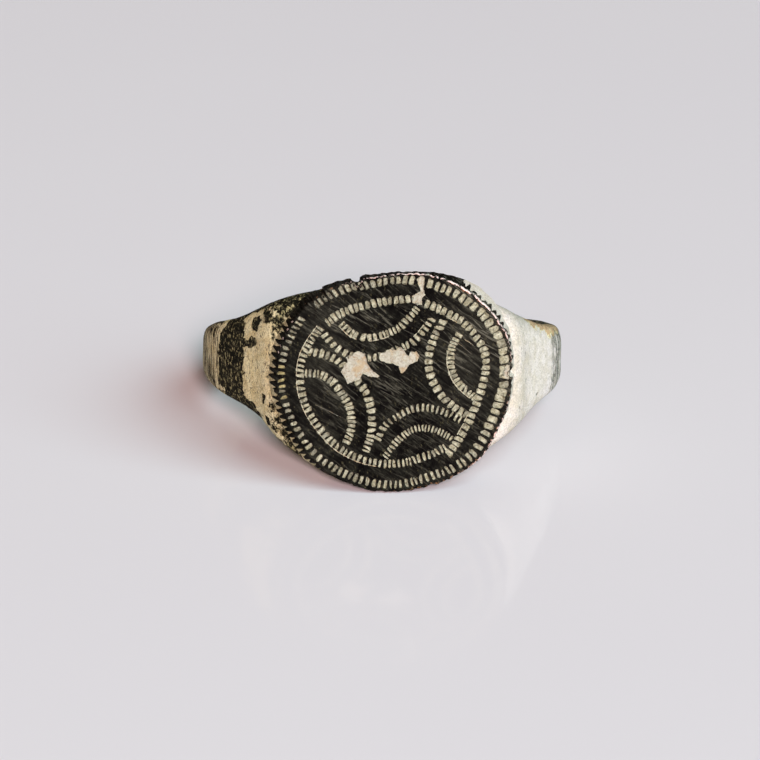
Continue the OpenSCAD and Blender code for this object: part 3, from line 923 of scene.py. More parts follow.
@dataclass
class Engraving:
    """The strokes, threads, chips and deep scratches on the face, in millimetres."""

    shape: RingShape
    border_length: float = 0.53
    border_swing: float = 0.1
    stroke_depth: float = 0.05
    stroke_wall: float = 0.03
    rim_clear: float = 0.13
    corner: float = 0.34
    least_corner: float = 0.1
    jitter: float = 0.018
    taper: float = 0.09
    turn_jitter: float = 2.2
    width_spread: Span = (0.93, 1.07)
    inner_spread: Span = (0.92, 1.1)
    length_spread: Span = (0.92, 1.08)
    end_bulge: Span = (0.96, 1.1)
    fill_spread: float = 0.2
    dull_share: float = 0.1
    dull_fill: Span = (0.2, 0.36)
    usual_fill: Span = (0.5, 0.95)
    least_fill: float = 0.42
    grey_below: float = 0.55
    least_tone: float = 0.1
    numbers: int = 400
    thread_half: float = 0.03
    thread_step: float = 14.0
    thread_inset: float = 0.045
    thread_wander: float = 0.03
    thread_fill: float = 0.4
    chip_depth: float = 0.07
    chip_wall: float = 0.07
    chip_step: float = 0.11
    chip_wobble: float = 0.05
    chip_reach: float = 2.0
    lump_height: float = 0.06
    lump_step: float = 0.13
    scratch_depth: float = 0.015
    scratch_tip: float = 0.05
    seed: int = 11

    def cuts(self) -> list[Cut]:
        """All the cuts on the face.

        Returns:
            The border's strokes, each row's, the threads, the chips and the deep scratches.
        """
        rng = random.Random(self.seed)
        found = self.border(rng)
        for row in ROWS:
            found += self.row(row, rng)
        found += [self.thread(thread) for thread in THREADS]
        found += [self.chip(outline) for outline in CHIPS]
        found += [self.scratch(line) for line in SCRATCHES]
        return found

    @staticmethod
    def step_at(places: Sequence[float], i: int) -> float:
        """Step that a stroke has between its neighbours, less where one of them is much nearer.

        Args:
            places: places of the strokes, rising.
            i: index of the stroke.

        Returns:
            The step in the places' units.
        """
        last = len(places) - 1
        before = places[max(i, 1)] - places[max(i, 1) - 1]
        after = places[min(i, last - 1) + 1] - places[min(i, last - 1)]
        return min((before + after) / 2, 1.3 * min(before, after))

    def look(self, fullness: float, tone: Tone = Tone.CREAM) -> tuple[float, float]:
        """How deposit fills a stroke, greyer where it is thin.

        Args:
            fullness: how full the stroke is, from 0 to 1.
            tone: the deposit's tone.

        Returns:
            The fill, and the place on the deposits' colour ramp.
        """
        share = max(min(fullness / self.grey_below, 1.0), self.least_tone)
        fill = self.least_fill + 0.5 * fullness
        return fill, tone.value * (share if tone is Tone.CREAM else 1.0)

    def border(self, rng: random.Random) -> list[Cut]:
        """Strokes of the border, which follow the rim and are longest at the right.

        Args:
            rng: source of the small differences between strokes.

        Returns:
            One cut for each stroke.
        """
        dulled = {dull.angle: self.look(dull.fill, dull.tone) for dull in DULL_STROKES}
        found = []
        for i, angle in enumerate(BORDER):
            a = math.radians(angle)
            half = self.border_length / 2 * (1 + self.border_swing * math.cos(a))
            outer = min(self.shape.border(angle) + half, self.shape.rim(angle) - self.rim_clear)
            inner = self.shape.border(angle) - half * rng.uniform(*self.inner_spread)
            radius = (outer + inner) / 2
            wide = radius * math.radians(self.step_at(BORDER, i)) * smooth(BORDER_LOOKS, angle, 1)
            spread = rng.uniform(-self.fill_spread, self.fill_spread)
            look = dulled.get(angle, self.look(smooth(BORDER_LOOKS, angle, 2) + spread))
            at = (radius * math.cos(a), radius * math.sin(a))
            found.append(self.stroke(at, angle + 90, (wide, outer - inner), look, rng))
        return found

    def row(self, row: StrokeRow, rng: random.Random) -> list[Cut]:
        """Strokes of one row, each across the row's path.

        Args:
            row: the row.
            rng: source of the small differences between strokes.

        Returns:
            One cut for each stroke.
        """
        found = []
        for i, place in enumerate(row.places):
            here, way = self.course(row.path, place)
            heading = math.degrees(math.atan2(way[1], way[0]))
            wide = self.step_at(row.places, i) * float(np.hypot(*way)) * row.share
            dull = rng.random() < self.dull_share
            look = self.look(rng.uniform(*(self.dull_fill if dull else self.usual_fill)))
            size = (wide, row.length * rng.uniform(*self.length_spread))
            found.append(self.stroke(here, heading, size, look, rng))
        return found

    def thread(self, thread: Thread) -> Cut:
        """A thin line of deposit along one side of a row.

        Args:
            thread: the row, the places where the thread starts and ends, and its side.

        Returns:
            The cut, whose floor lies nearer to its edges than to its core.
        """
        row = ROWS[thread.row]
        near, far = [], []
        spacing = self.thread_step / (len(row.path) - 1)
        for place in np.arange(thread.first, thread.last + 0.1, spacing):
            here, way = self.course(row.path, place)
            side = np.array([-way[1], way[0]]) / np.hypot(*way) * thread.side
            wander = noise.noise(Vector((here[0] * 2.5, here[1] * 2.5, 3.0)))
            middle = row.length / 2 - self.thread_inset + self.thread_wander * wander
            near.append(here + side * (middle - self.thread_half * (1 + 0.6 * wander)))
            far.append(here + side * (middle + self.thread_half))
        core = (np.array(near) + np.array(far)) / 2
        sides = [0.4 * core + 0.6 * np.array(edge) for edge in (near, far)]
        return Cut(
            np.array(near + far[::-1]), np.concatenate([sides[0], sides[1][::-1]]),
            self.stroke_depth, self.thread_half / 2, self.thread_fill, Tone.CREAM.value,
        )

    def course(self, path: Sequence[Point], place: float) -> tuple[np.ndarray, np.ndarray]:
        """Point of a path at a place in percent, and the way across one percent there."""
        before, here, after = (self.along(path, (place + move) / 100) for move in (-0.5, 0, 0.5))
        return here, after - before

    @staticmethod
    def along(path: Sequence[Point], share: float) -> np.ndarray:
        """Point of a path at a share of its length, on a smooth curve through its points.

        Args:
            path: points right and up of the face's middle.
            share: 0 at the first point and 1 at the last; the curve runs on a little beyond both.

        Returns:
            The point.
        """
        last = len(path) - 1
        i = max(min(math.floor(share * last), last - 1), 0)
        s = share * last - i
        p1, p2 = np.array(path[i], float), np.array(path[i + 1], float)
        p0 = np.array(path[i - 1], float) if i > 0 else 2 * p1 - p2
        p3 = np.array(path[i + 2], float) if i + 2 <= last else 2 * p2 - p1
        return 0.5 * (
            2 * p1 + (p2 - p0) * s + (2 * p0 - 5 * p1 + 4 * p2 - p3) * s**2
            + (3 * p1 - p0 - 3 * p2 + p3) * s**3
        )

    def stroke(
        self, at: Sequence[float], heading: float, size: Point, look: tuple[float, float],
        rng: random.Random,
    ) -> Cut:
        """One engraved stroke.

        Args:
            at: middle of the stroke, right and up of the face's middle.
            heading: direction of the row in degrees; the stroke lies across it.
            size: width along the row and length across it.
            look: how full of deposit the stroke is, and the deposit's place on the colour ramp.
            rng: source of the small differences between strokes.

        Returns:
            The cut.
        """
        wide, long = size[0] * rng.uniform(*self.width_spread), size[1]
        taper, lean = rng.gauss(0, self.taper), rng.gauss(0, self.jitter)
        corners = []
        for side, end in ((-1, -1), (1, -1), (1, 1), (-1, 1)):
            chop = rng.uniform(self.least_corner, self.corner)
            u = side * wide / 2 * (1 + end * taper) + end * lean + rng.gauss(0, self.jitter)
            v = end * long / 2 + rng.gauss(0, self.jitter * 1.6)
            pair = [(u - side * wide * chop, v), (u, v - end * long * chop / 2)]
            if side * end < 0:
                bulge = rng.gauss(0, self.jitter * 0.6)
                corners += [*pair, (side * wide / 2 + bulge, rng.gauss(0, long / 10))]
            else:
                drift = rng.gauss(0, wide / 10)
                corners += [*pair[::-1], (drift, end * long / 2 * rng.uniform(*self.end_bulge))]
        box = np.array(corners)
        box = box[::-1] if self.clockwise(box) else box
        a = math.radians(heading + rng.gauss(0, self.turn_jitter))
        spin = np.array([[math.cos(a), math.sin(a)], [-math.sin(a), math.cos(a)]])
        middle = np.array(at)
        shrink = 1 - 2 * self.stroke_wall / np.array([wide, long])
        turned = spin.T / np.array([wide / 2, long / 2])
        return Cut(
            middle + box @ spin, middle + (box * shrink) @ spin, self.stroke_depth,
            self.stroke_wall, *look, np.vstack([turned, -middle @ turned]),
            rng.randrange(1, self.numbers),
        )

    @staticmethod
    def clockwise(outline: np.ndarray) -> bool:
        """Whether an outline runs clockwise."""
        x, y = outline.T
        return float((x * np.roll(y, -1) - np.roll(x, -1) * y).sum()) < 0

    def chip(self, corners: Sequence[Point]) -> Cut:
        """A broken place with a ragged outline and a lumpy, chalky floor.

        Args:
            corners: outline of the chip, right and up of the face's middle.

        Returns:
            The cut, which stays clear of the rim.
        """
        ragged = []
        for i, corner in enumerate(corners):
            start, end = np.array(corner, float), np.array(corners[(i + 1) % len(corners)], float)
            steps = max(int(math.dist(start, end) / self.chip_step), 1)
            for k in range(steps):
                x, y = start + (end - start) * k / steps
                right, up = (noise.noise(Vector((x * 5, y * 5, shift))) for shift in (4.0, 9.0))
                ragged.append((x + self.chip_wobble * right, y + self.chip_wobble * up))
        angles = [math.degrees(math.atan2(y, x)) % 360 for x, y in ragged]
        limit = np.array([self.shape.rim(angle) for angle in angles]) - self.rim_clear
        outline = np.array(ragged)
        outline = outline * np.minimum(1, limit / np.hypot(*outline.T))[:, None]
        cut = Cut(outline, outline, self.chip_depth, self.chip_wall, 1.0, Tone.CHALK.value)
        grid = np.arange(-7, 7, self.lump_step)
        spots = np.array(
            [(x + 0.03 * math.sin(17 * y), y + 0.03 * math.sin(13 * x)) for x in grid for y in grid]
        )
        spots = spots[np.linalg.norm(spots - outline.mean(0), axis=1) < self.chip_reach]
        return replace(cut, inside=spots[cut.sunk(spots) > 0.6], lumps=self.lump_height)

    def scratch(self, line: Scratch) -> Cut:
        """A deep scratch, which tapers to both ends and holds dust along its middle.

        Args:
            line: ends, width and fill of the scratch.

        Returns:
            The cut.
        """
        start, end = np.array(line.start), np.array(line.end)
        way = (end - start) / np.linalg.norm(end - start)
        side = np.array([-way[1], way[0]]) * line.width / 2
        shares = (0.25, 0.5, 0.75)
        middle = [start + (end - start) * s + side * 0.5 * math.sin(40 * s) for s in shares]
        outline = [start, *(p - side for p in middle), end, *(p + side for p in reversed(middle))]
        floor = [start + way * self.scratch_tip, *middle, end - way * self.scratch_tip]
        return Cut(
            np.array(outline), np.array(floor), self.scratch_depth, line.width / 2, line.fill,
            Tone.GREY.value,
        )


@dataclass
class Bezel:
    """The engraved oval plate with its notched rim, in millimetres.

    The side has a loop of points at each share of the way down in heights, and the underside has
    one at each distance inward from its edge.
    """

    shape: RingShape
    own: RingFrame
    engraving: Engraving
    notches: int = 106
    steps: int = 10
    land: float = 0.35
    bevel: float = 0.05
    heights: tuple[float, ...] = (0.0, 0.0, 0.07, 0.14, 0.22, 0.32, 0.43, 0.55, 0.68, 0.82, 0.94, 1.0)
    inward: tuple[float, ...] = (0.05, 0.5, 1.6, 3.2)
    first_drop: float = 0.7
    flare: float = 1.2
    notch_start: float = 0.45
    notch_deepest: float = 0.22
    depth_spread: Span = (0.35, 1.4)
    tooth_spread: Span = (0.4, 1.35)
    shift_spread: Span = (-0.06, 0.06)
    bite_slope: float = 0.25
    foot_bite: float = 0.75
    ripples: tuple[Ripple, ...] = (Ripple(0.025, 3, 8.0), Ripple(0.05, 11, 2.0), Ripple(0.02, 17, 6.0))
    bare_ripple: float = 0.05
    bare_below: float = 0.3
    black_band: float = 0.16
    tooth_half: float = 0.6
    tooth_edge: float = 0.1
    short_tooth: float = 0.7
    pale_line: Span = (0.05, 0.1)
    crumb_loops: int = 6
    glint_loops: int = 4
    glint_half: float = 0.55
    wall_fleck: float = 0.3
    warm_angles: Span = (95.0, 262.0)
    side_warmth: Span = (0.15, 0.85)
    # cover, warmth, wear and painted shade of the underside
    foot_looks: tuple[float, ...] = (0.55, 0.7, 0.0, 0.5)
    sharp_angle: float = 24.0
    beside: float = 1.25
    merge_gap: float = 1e-5
    seed: int = 5

    def build(self) -> bpy.types.Object:
        """Builds the plate and keeps its looks on the mesh.

        Returns:
            The object.
        """
        wall = self.wall()
        face, triangles, order, looks = self.face(wall[0][:, [0, 2]])
        count, first = len(order), len(face)
        lower = np.concatenate(wall[1:])
        middle = (0.0, self.shape.plate_t - self.shape.face_reach, 0.0)
        points = np.concatenate([face, lower[:, :3], [middle]])
        loops = [order, *(range(n, n + count) for n in range(first, len(points) - 1, count))]
        ends = [(j, (j + 1) % count) for j in range(count)]
        faces = list(triangles)
        for upper, under in zip(loops, loops[1:]):
            faces += [(upper[j], under[j], under[k], upper[k]) for j, k in ends]
        faces += [(loops[-1][k], loops[-1][j], len(points) - 1) for j, k in ends]
        obj = make_object("bezel", points, faces, self.own)
        obj.data.set_sharp_from_angle(angle=math.radians(self.sharp_angle))
        for name, plain in (("fill", 0.0), ("tone", Tone.CREAM.value), ("lie", (-1.0, -1.0, -1.0))):
            rest = np.full((len(points) - first, *np.shape(plain)), plain)
            write_values(obj.data, name, np.concatenate([looks[name], rest]))
        plain_looks = (("cover", 0.0), ("warmth", 0.5), ("wear", 0.0), ("painted_shade", 0.0))
        for column, (name, plain) in enumerate(plain_looks, start=3):
            values = np.full(len(points), plain)
            values[first:-1] = lower[:, column]
            values[order] = np.maximum(plain, wall[0][:, column])
            write_values(obj.data, name, values)
        return obj

    def wall(self) -> np.ndarray:
        """Loops of points from the edge of the face down the side to the underside.

        Returns:
            For each loop, a row for each place round the rim, with x, y, z, cover, warmth, wear
            with painted glints, and painted shade.
        """
        rng = random.Random(self.seed)
        spreads = (self.depth_spread, self.tooth_spread, self.shift_spread)
        depths, teeth, shifts = ([rng.uniform(*s) for _ in range(self.notches)] for s in spreads)
        columns = []
        for i in range(self.notches):
            for j in range(self.steps):
                phase = j / self.steps
                angle = (i + phase + shifts[i]) * 360 / self.notches
                columns.append(self.column(angle, phase, depths[i], teeth[i]))
        return np.array(columns).transpose(1, 0, 2)

    def column(
        self, angle: float, phase: float, depth_share: float, tooth_share: float
    ) -> list[tuple[float, ...]]:
        """One point for each loop, at one place round the rim.

        Args:
            angle: angle from the right-hand end of the face.
            phase: place within the step from one notch to the next.
            depth_share: depth of this notch against the usual one.
            tooth_share: length of this dark tooth against the usual one.

        Returns:
            A row for each loop, with x, y, z, cover, warmth, wear with painted glints, and
            painted shade.
        """
        wear = RimWear(angle, *(smooth(RIM_WEAR, angle % 360, column) for column in range(1, 6)))
        a = math.radians(angle)
        vee = 0.0 if phase <= self.land else 1 - abs(2 * (phase - self.land) / (1 - self.land) - 1)
        notch = wear.notch * depth_share * vee
        bite = max(self.bitten(bite, angle) for bite in BITES)
        rim, foot = self.shape.rim(angle), self.shape.foot(angle)
        ripple = self.ripple(a, wear.cover)
        sides = []
        for n, t in enumerate(self.heights):
            start, deepest = self.notch_start, self.notch_deepest
            sunk = start + (1 - start) * t / deepest if t < deepest else (1 - t) / (1 - deepest)
            radius = rim + (foot - rim) * t**self.flare - notch * sunk
            radius += ripple - bite * (1 - self.bite_slope * t)
            down = self.bevel * self.first_drop + t * (self.shape.plate_t - self.bevel)
            if n == 0:
                radius, down = radius - self.bevel, 0.0
            sides.append((radius, down, *self.side_looks(n, wear, phase, tooth_share)))
        for n, inset in enumerate(self.inward):
            down = self.shape.plate_t + (0.03 if n > 0 else 0.02)
            sides.append((foot - inset + ripple - self.foot_bite * bite, down, *self.foot_looks))
        return [
            (radius * math.cos(a), down - self.shape.face_reach, radius * math.sin(a), *looks)
            for radius, down, *looks in sides
        ]

    def bitten(self, bite: Bite, angle: float) -> float:
        """How deep a bite goes at an angle of the rim."""
        off = apart(angle, bite.angle) * math.radians(1) * self.shape.rim(bite.angle)
        return bite.depth * math.sqrt(max(0.0, 1 - (2 * off / bite.width) ** 2))

    def ripple(self, a: float, cover: float) -> float:
        """Unevenness of the rim between its notches.

        Args:
            a: angle from the right-hand end of the face, in radians.
            cover: share of deposit on the side there; bare metal is the roughest.

        Returns:
            How far the rim stands out.
        """
        total = 0.0
        for n, (size, waves, shift) in enumerate(self.ripples):
            rough = self.bare_ripple if n == len(self.ripples) - 1 and cover < self.bare_below else 0.0
            place = Vector((waves * math.cos(a), waves * math.sin(a), shift))
            total += (size + rough) * noise.noise(place)
        return total

    def side_looks(
        self, n: int, wear: RimWear, phase: float, tooth_share: float
    ) -> tuple[float, float, float, float]:
        """Looks of a point on the side of the rim.

        Args:
            n: index of the loop.
            wear: the usual looks at this angle.
            phase: place within the step from one notch to the next.
            tooth_share: length of this dark tooth against the usual one.

        Returns:
            Cover, warmth, wear with painted glints, and painted shade.
        """
        t = self.heights[n]
        first, last = self.pale_line
        off_tooth = abs((phase - self.land / 2 + 0.5) % 1 - 0.5)
        length = max(wear.tooth * tooth_share, 0.05)
        dark = self.tooth_half * (1 - (t - self.black_band) / length)
        share = (off_tooth - dark) / self.tooth_edge if t > first else -1.0
        if wear.tooth < self.short_tooth and first < t < last:
            share = 1.0
        crumb = any(apart(wear.angle, spot.angle) < spot.half for spot in RIM_CRUMBS)
        glint = any(apart(wear.angle, angle) < self.glint_half for angle in RIM_GLINTS)
        cover = wear.cover * min(max(0.5 + share, 0.0), 1.0)
        if glint and n < self.glint_loops:
            cover = 0.0
        if crumb and 0 < n < self.crumb_loops:
            cover = 1.0
        start, end = self.warm_angles
        warmth = self.side_warmth[start < wear.angle % 360 < end]
        line = 1.0 if n < 2 else max(0.0, 1 - t / max(wear.rubbed_depth * 2, 0.02))
        # painted highlight: at the glints the wear is full, so they take the bright rubbed colour
        wear_and_glint = 1.0 if glint and 0 < n < self.glint_loops else wear.rubbed * line
        if n > 2 and wear.cover < self.bare_below:
            wear_and_glint = max(wear_and_glint, self.wall_fleck)
        # the last value is painted shade, darker further down the side
        return cover, warmth, 0.0 if crumb else wear_and_glint, 0.7 * max(t - 0.4, 0.0)

    def face(self, edge: np.ndarray) -> tuple[np.ndarray, list, list[int], dict[str, np.ndarray]]:
        """The engraved face, as a triangulation that keeps every cut's outline and floor.

        Args:
            edge: loop of points round the face, right and up of its middle.

        Returns:
            Points in the ring's millimetres, triangles, the index of each point of the edge, and
            the looks of each point.
        """
        cuts = self.engraving.cuts()
        spots = [Vector(p) for p in edge]
        lines = [(i, (i + 1) % len(edge)) for i in range(len(edge))]
        for cut in cuts:
            for ring, closed in ((cut.outline, True), (cut.floor, len(cut.floor) > 5)):
                first = len(spots)
                spots += [Vector(p) for p in ring]
                last = len(ring) if closed else len(ring) - 1
                lines += [(first + i, first + (i + 1) % len(ring)) for i in range(last)]
            if cut.inside is not None:
                spots += [Vector(p) for p in cut.inside]
        out, _, triangles, came_from, _, _ = delaunay_2d_cdt(spots, lines, [], 1, self.merge_gap)
        order = [0] * len(edge)
        for index, sources in enumerate(came_from):
            for source in sources:
                if source < len(edge):
                    order[source] = index
        flat = np.array([tuple(p) for p in out])
        depth, looks = self.sink(flat, cuts)
        depth[order] = 0.0
        looks["fill"][order] = 0.0
        points = np.c_[flat[:, 0], depth - self.shape.face_reach, flat[:, 1]]
        return points, [tuple(t) for t in triangles], order, looks

    def sink(self, flat: np.ndarray, cuts: list[Cut]) -> tuple[np.ndarray, dict[str, np.ndarray]]:
        """Depth and looks that the cuts give to points of the face.

        Args:
            flat: n rows of right and up.
            cuts: the cuts, of which the deepest wins at each point.

        Returns:
            The depths, and by name how full of deposit the points are, its tone, and where they
            lie in the nearest stroke.
        """
        count = len(flat)
        depth, fill, tone = np.zeros(count), np.zeros(count), np.full(count, Tone.CREAM.value)
        lie, off = np.c_[flat, np.full(count, -1.0)], np.full(count, self.beside)
        for cut in cuts:
            low, high = cut.outline.min(0) - 0.01, cut.outline.max(0) + 0.01
            near = np.where(((flat > low) & (flat < high)).all(1))[0]
            if not len(near):
                continue
            spots = flat[near]
            sunk = cut.sunk(spots)
            lumps = cut.lumps * grain(np.c_[spots, np.full(len(near), 1.5)], 3.0, 2)
            depth[near] = np.maximum(depth[near], (cut.depth + lumps) * fade(sunk, 0, 1))
            fuller = (sunk * cut.fill >= fill[near]) & (sunk > 0)
            tone[near] = np.where(fuller, cut.tone, tone[near])
            fill[near] = np.maximum(fill[near], sunk * cut.fill)
            placed = cut.lie(spots)
            away = np.abs(placed[:, :2]).max(1) if cut.number > 0 else np.where(sunk > 0, 0.0, 2.0)
            nearer = away < off[near]
            lie[near] = np.where(nearer[:, None], placed, lie[near])
            off[near] = np.where(nearer, away, off[near])
        return depth, {"fill": fill, "tone": tone, "lie": lie}


def srgb(red: int, green: int, blue: int) -> Colour:
    """Colour as read off a picture, as the linear colour with alpha that sockets take."""
    parts = [c / 255 for c in (red, green, blue)]
    return (*(p / 12.92 if p <= 0.04045 else ((p + 0.055) / 1.055) ** 2.4 for p in parts), 1.0)


class Nodes:
    """Short ways to add and join nodes in one tree."""

    def __init__(self, tree: bpy.types.NodeTree) -> None:
        """Keeps the tree that the nodes go into."""
        self.tree = tree

    def add(self, kind: str, **settings: Setting) -> bpy.types.Node:
        """Adds a node.

        Args:
            kind: type of the node.
            settings: the node's settings, by name.

        Returns:
            The node.
        """
        node = self.tree.nodes.new(kind)
        for name, value in settings.items():
            setattr(node, name, value)
        return node

    def feed(self, socket: bpy.types.NodeSocket, value: Feed) -> None:
        """Joins a socket to another, or sets its own value.

        Args:
            socket: the input socket.
            value: the output socket that feeds it, or its value.
        """
        if isinstance(value, bpy.types.NodeSocket):
            self.tree.links.new(value, socket)
        else:
            socket.default_value = value

    def run(
        self, kind: str, feeds: dict[int | str, Feed], **settings: Setting
    ) -> bpy.types.NodeOutputs:
        """Adds a node and feeds its inputs.

        Args:
            kind: type of the node.
            feeds: what feeds each input, by its place or name.
            settings: the node's settings, by name.

        Returns:
            The node's outputs.
        """
        node = self.add(kind, **settings)
        for key, value in feeds.items():
            self.feed(node.inputs[key], value)
        return node.outputs

    def attribute(self, name: str, output: str = "Fac") -> bpy.types.NodeSocket:
        """Value that the mesh keeps for each vertex."""
        return self.run("ShaderNodeAttribute", {}, attribute_name=name)[output]

    def math(self, operation: str, first: Feed, second: Feed = 0.0) -> bpy.types.NodeSocket:
        """Result of a sum on two values."""
        return self.run("ShaderNodeMath", {0: first, 1: second}, operation=operation)[0]

    def join(self, operation: str, values: Sequence[Feed]) -> bpy.types.NodeSocket:
        """Result of one sum on several values, from the first to the last.

        Args:
            operation: the sum.
            values: two values or more.

        Returns:
            The result.
        """
        result = values[0]
        for value in values[1:]:
            result = self.math(operation, result, value)
        return result

    def times(self, *values: Feed) -> bpy.types.NodeSocket:
        """Product of values."""
        return self.join("MULTIPLY", values)

    def plus(self, *values: Feed) -> bpy.types.NodeSocket:
        """Total of values."""
        return self.join("ADD", values)

    def most(self, *values: Feed) -> bpy.types.NodeSocket:
        """The greatest of values."""
        return self.join("MAXIMUM", values)

    def minus(self, first: Feed, second: Feed) -> bpy.types.NodeSocket:
        """First value less the second."""
        return self.math("SUBTRACT", first, second)

    def rest(self, share: Feed) -> bpy.types.NodeSocket:
        """What is left of 1."""
        return self.minus(1.0, share)

    def scaled(self, vector: Feed, factors: Size) -> bpy.types.NodeSocket:
        """Vector multiplied part by part."""
        return self.run("ShaderNodeVectorMath", {0: vector, 1: factors}, operation="MULTIPLY")[0]

    def turned(self, vector: Feed, angle: Feed) -> bpy.types.NodeSocket:
        """Vector turned about the y axis, which is square to the face."""
        feeds = {"Vector": vector, "Angle": angle}
        return self.run("ShaderNodeVectorRotate", feeds, rotation_type="Y_AXIS")[0]

    def parts(self, vector: Feed) -> bpy.types.NodeOutputs:
        """X, Y and Z of a vector."""
        return self.run("ShaderNodeSeparateXYZ", {0: vector})

    def noise(self, position: Feed, pattern: Pattern) -> bpy.types.NodeSocket:
        """Fractal noise from 0 to 1."""
        feeds = {"Scale": pattern.scale, "Detail": pattern.detail, "Roughness": pattern.rough}
        return self.run("ShaderNodeTexNoise", {"Vector": position, **feeds})["Fac"]

    def step(self, value: Feed, low: Feed, high: Feed) -> bpy.types.NodeSocket:
        """0 below low, 1 above high and a smooth rise between."""
        feeds = {"Value": value, "From Min": low, "From Max": high}
        return self.run("ShaderNodeMapRange", feeds, interpolation_type="SMOOTHSTEP")["Result"]

    def mix(
        self, share: Feed, first: Feed, second: Feed, blend: Blend = Blend.MIX
    ) -> bpy.types.NodeSocket:
        """Colour between two others, or the first tinted by the second."""
        feeds = {0: share, 6: first, 7: second}
        return self.run("ShaderNodeMix", feeds, data_type="RGBA", blend_type=blend.value)[2]

    def between(self, share: Feed, first: Feed, second: Feed) -> bpy.types.NodeSocket:
        """Number between two others."""
        return self.run("ShaderNodeMix", {0: share, 2: first, 3: second}, data_type="FLOAT")[0]

    def group(self, tree: bpy.types.NodeTree, **values: Feed) -> bpy.types.NodeOutputs:
        """Places a node group, whose inputs' names have underscores here, and gives its outputs."""
        feeds = {name.replace("_", " "): value for name, value in values.items()}
        return self.run("ShaderNodeGroup", feeds, node_tree=tree)


def open_group(
    name: str, inputs: dict[str, Kind], outputs: dict[str, Kind]
) -> tuple[Nodes, bpy.types.NodeOutputs, bpy.types.NodeInputs]:
    """Starts a shader node group.

    Args:
        name: name of the group.
        inputs: kind of each input socket, by name.
        outputs: kind of each output socket, by name.

    Returns:
        Its nodes, the values given to it and the sockets that its results go into.
    """
    tree = bpy.data.node_groups.new(name, "ShaderNodeTree")
    for in_out, sockets in (("INPUT", inputs), ("OUTPUT", outputs)):
        for label, kind in sockets.items():
            tree.interface.new_socket(name=label, in_out=in_out, socket_type=kind.value)
    nodes = Nodes(tree)
    return nodes, nodes.add("NodeGroupInput").outputs, nodes.add("NodeGroupOutput").inputs


@dataclass(frozen=True)
class RaggedDeposit:
    """Mask of a deposit that has flaked off in ragged places or in streaks."""

    edge: float = 0.05
    flake_detail: float = 7.0
    flake_rough: float = 0.68
    streaks: Pattern = Pattern(1.5, 5.0, 0.65)
    streak_stretch: Size = (3.4, 3.4, 0.3)
    lumps: Pattern = Pattern(7.0, 4.0, 0.6)
    least_height: float = 0.7

    def tree(self) -> bpy.types.NodeTree:
        """Builds the node group.

        Returns:
            A tree whose Mask is 1 on the deposit, and whose Height is its lumpy thickness.
        """
        value = Kind.VALUE
        nodes, given, result = open_group(
            "Ragged deposit",
            {
                "Position": Kind.VECTOR, "Cover": value, "Streak": value, "Flake": value,
                "Raggedness": value,
            },
            {"Mask": value, "Height": value},
        )
        position = given["Position"]
        flakes = nodes.noise(position, Pattern(given["Flake"], self.flake_detail, self.flake_rough))
        streaks = nodes.noise(nodes.scaled(position, self.streak_stretch), self.streaks)
        pattern = nodes.between(given["Streak"], flakes, streaks)
        offset = nodes.times(nodes.minus(pattern, 0.5), given["Raggedness"])
        level = nodes.plus(given["Cover"], offset)
        mask = nodes.step(level, 0.5 - self.edge, 0.5 + self.edge)
        lumps = nodes.plus(self.least_height, nodes.noise(position, self.lumps))
        nodes.feed(result["Mask"], mask)
        nodes.feed(result["Height"], nodes.times(mask, lumps))
        return nodes.tree


@dataclass(frozen=True)
class Mottling:
    """Colour that wanders between two tones and has flecks of a third."""

    patch_detail: float = 6.0
    patch_rough: float = 0.62
    patch_edge: Span = (0.36, 0.64)
    dots: Pattern = Pattern(6.5, 3.0, 0.6)
    dot_stretch: Size = (1.0, 1.0, 0.6)
    dot_limit: float = 0.74
    dot_edge: float = 0.06
    fine: Pattern = Pattern(10.0, 2.0, 0.7)
    fine_edge: Span = (0.32, 0.62)
    brightest: float = 1.06

    def tree(self) -> bpy.types.NodeTree:
        """Builds the node group.

        Returns:
            A tree whose Color is mottled, flecked and finely shaded.
        """
        colour, value = Kind.COLOUR, Kind.VALUE
        nodes, given, result = open_group(
            "Mottling",
            {
                "Position": Kind.VECTOR, "Light": colour, "Deep": colour, "Fleck": colour,
                "Patch size": value, "Fleck share": value, "Grain": value,
            },
            {"Color": colour},
        )
        position = given["Position"]
        pattern = Pattern(given["Patch size"], self.patch_detail, self.patch_rough)
        patches = nodes.step(nodes.noise(position, pattern), *self.patch_edge)
        soft = nodes.mix(patches, given["Light"], given["Deep"])
        dots = nodes.noise(nodes.scaled(position, self.dot_stretch), self.dots)
        limit = nodes.minus(self.dot_limit, given["Fleck share"])
        flecks = nodes.step(dots, limit, nodes.plus(limit, self.dot_edge))
        flecked = nodes.mix(flecks, soft, given["Fleck"])
        fine = nodes.step(nodes.noise(position, self.fine), *self.fine_edge)
        shade = nodes.between(fine, nodes.rest(given["Grain"]), self.brightest)
        grey = nodes.run("ShaderNodeCombineColor", {"Red": shade, "Green": shade, "Blue": shade})
        nodes.feed(result["Color"], nodes.mix(1.0, flecked, grey[0], Blend.MULTIPLY))
        return nodes.tree


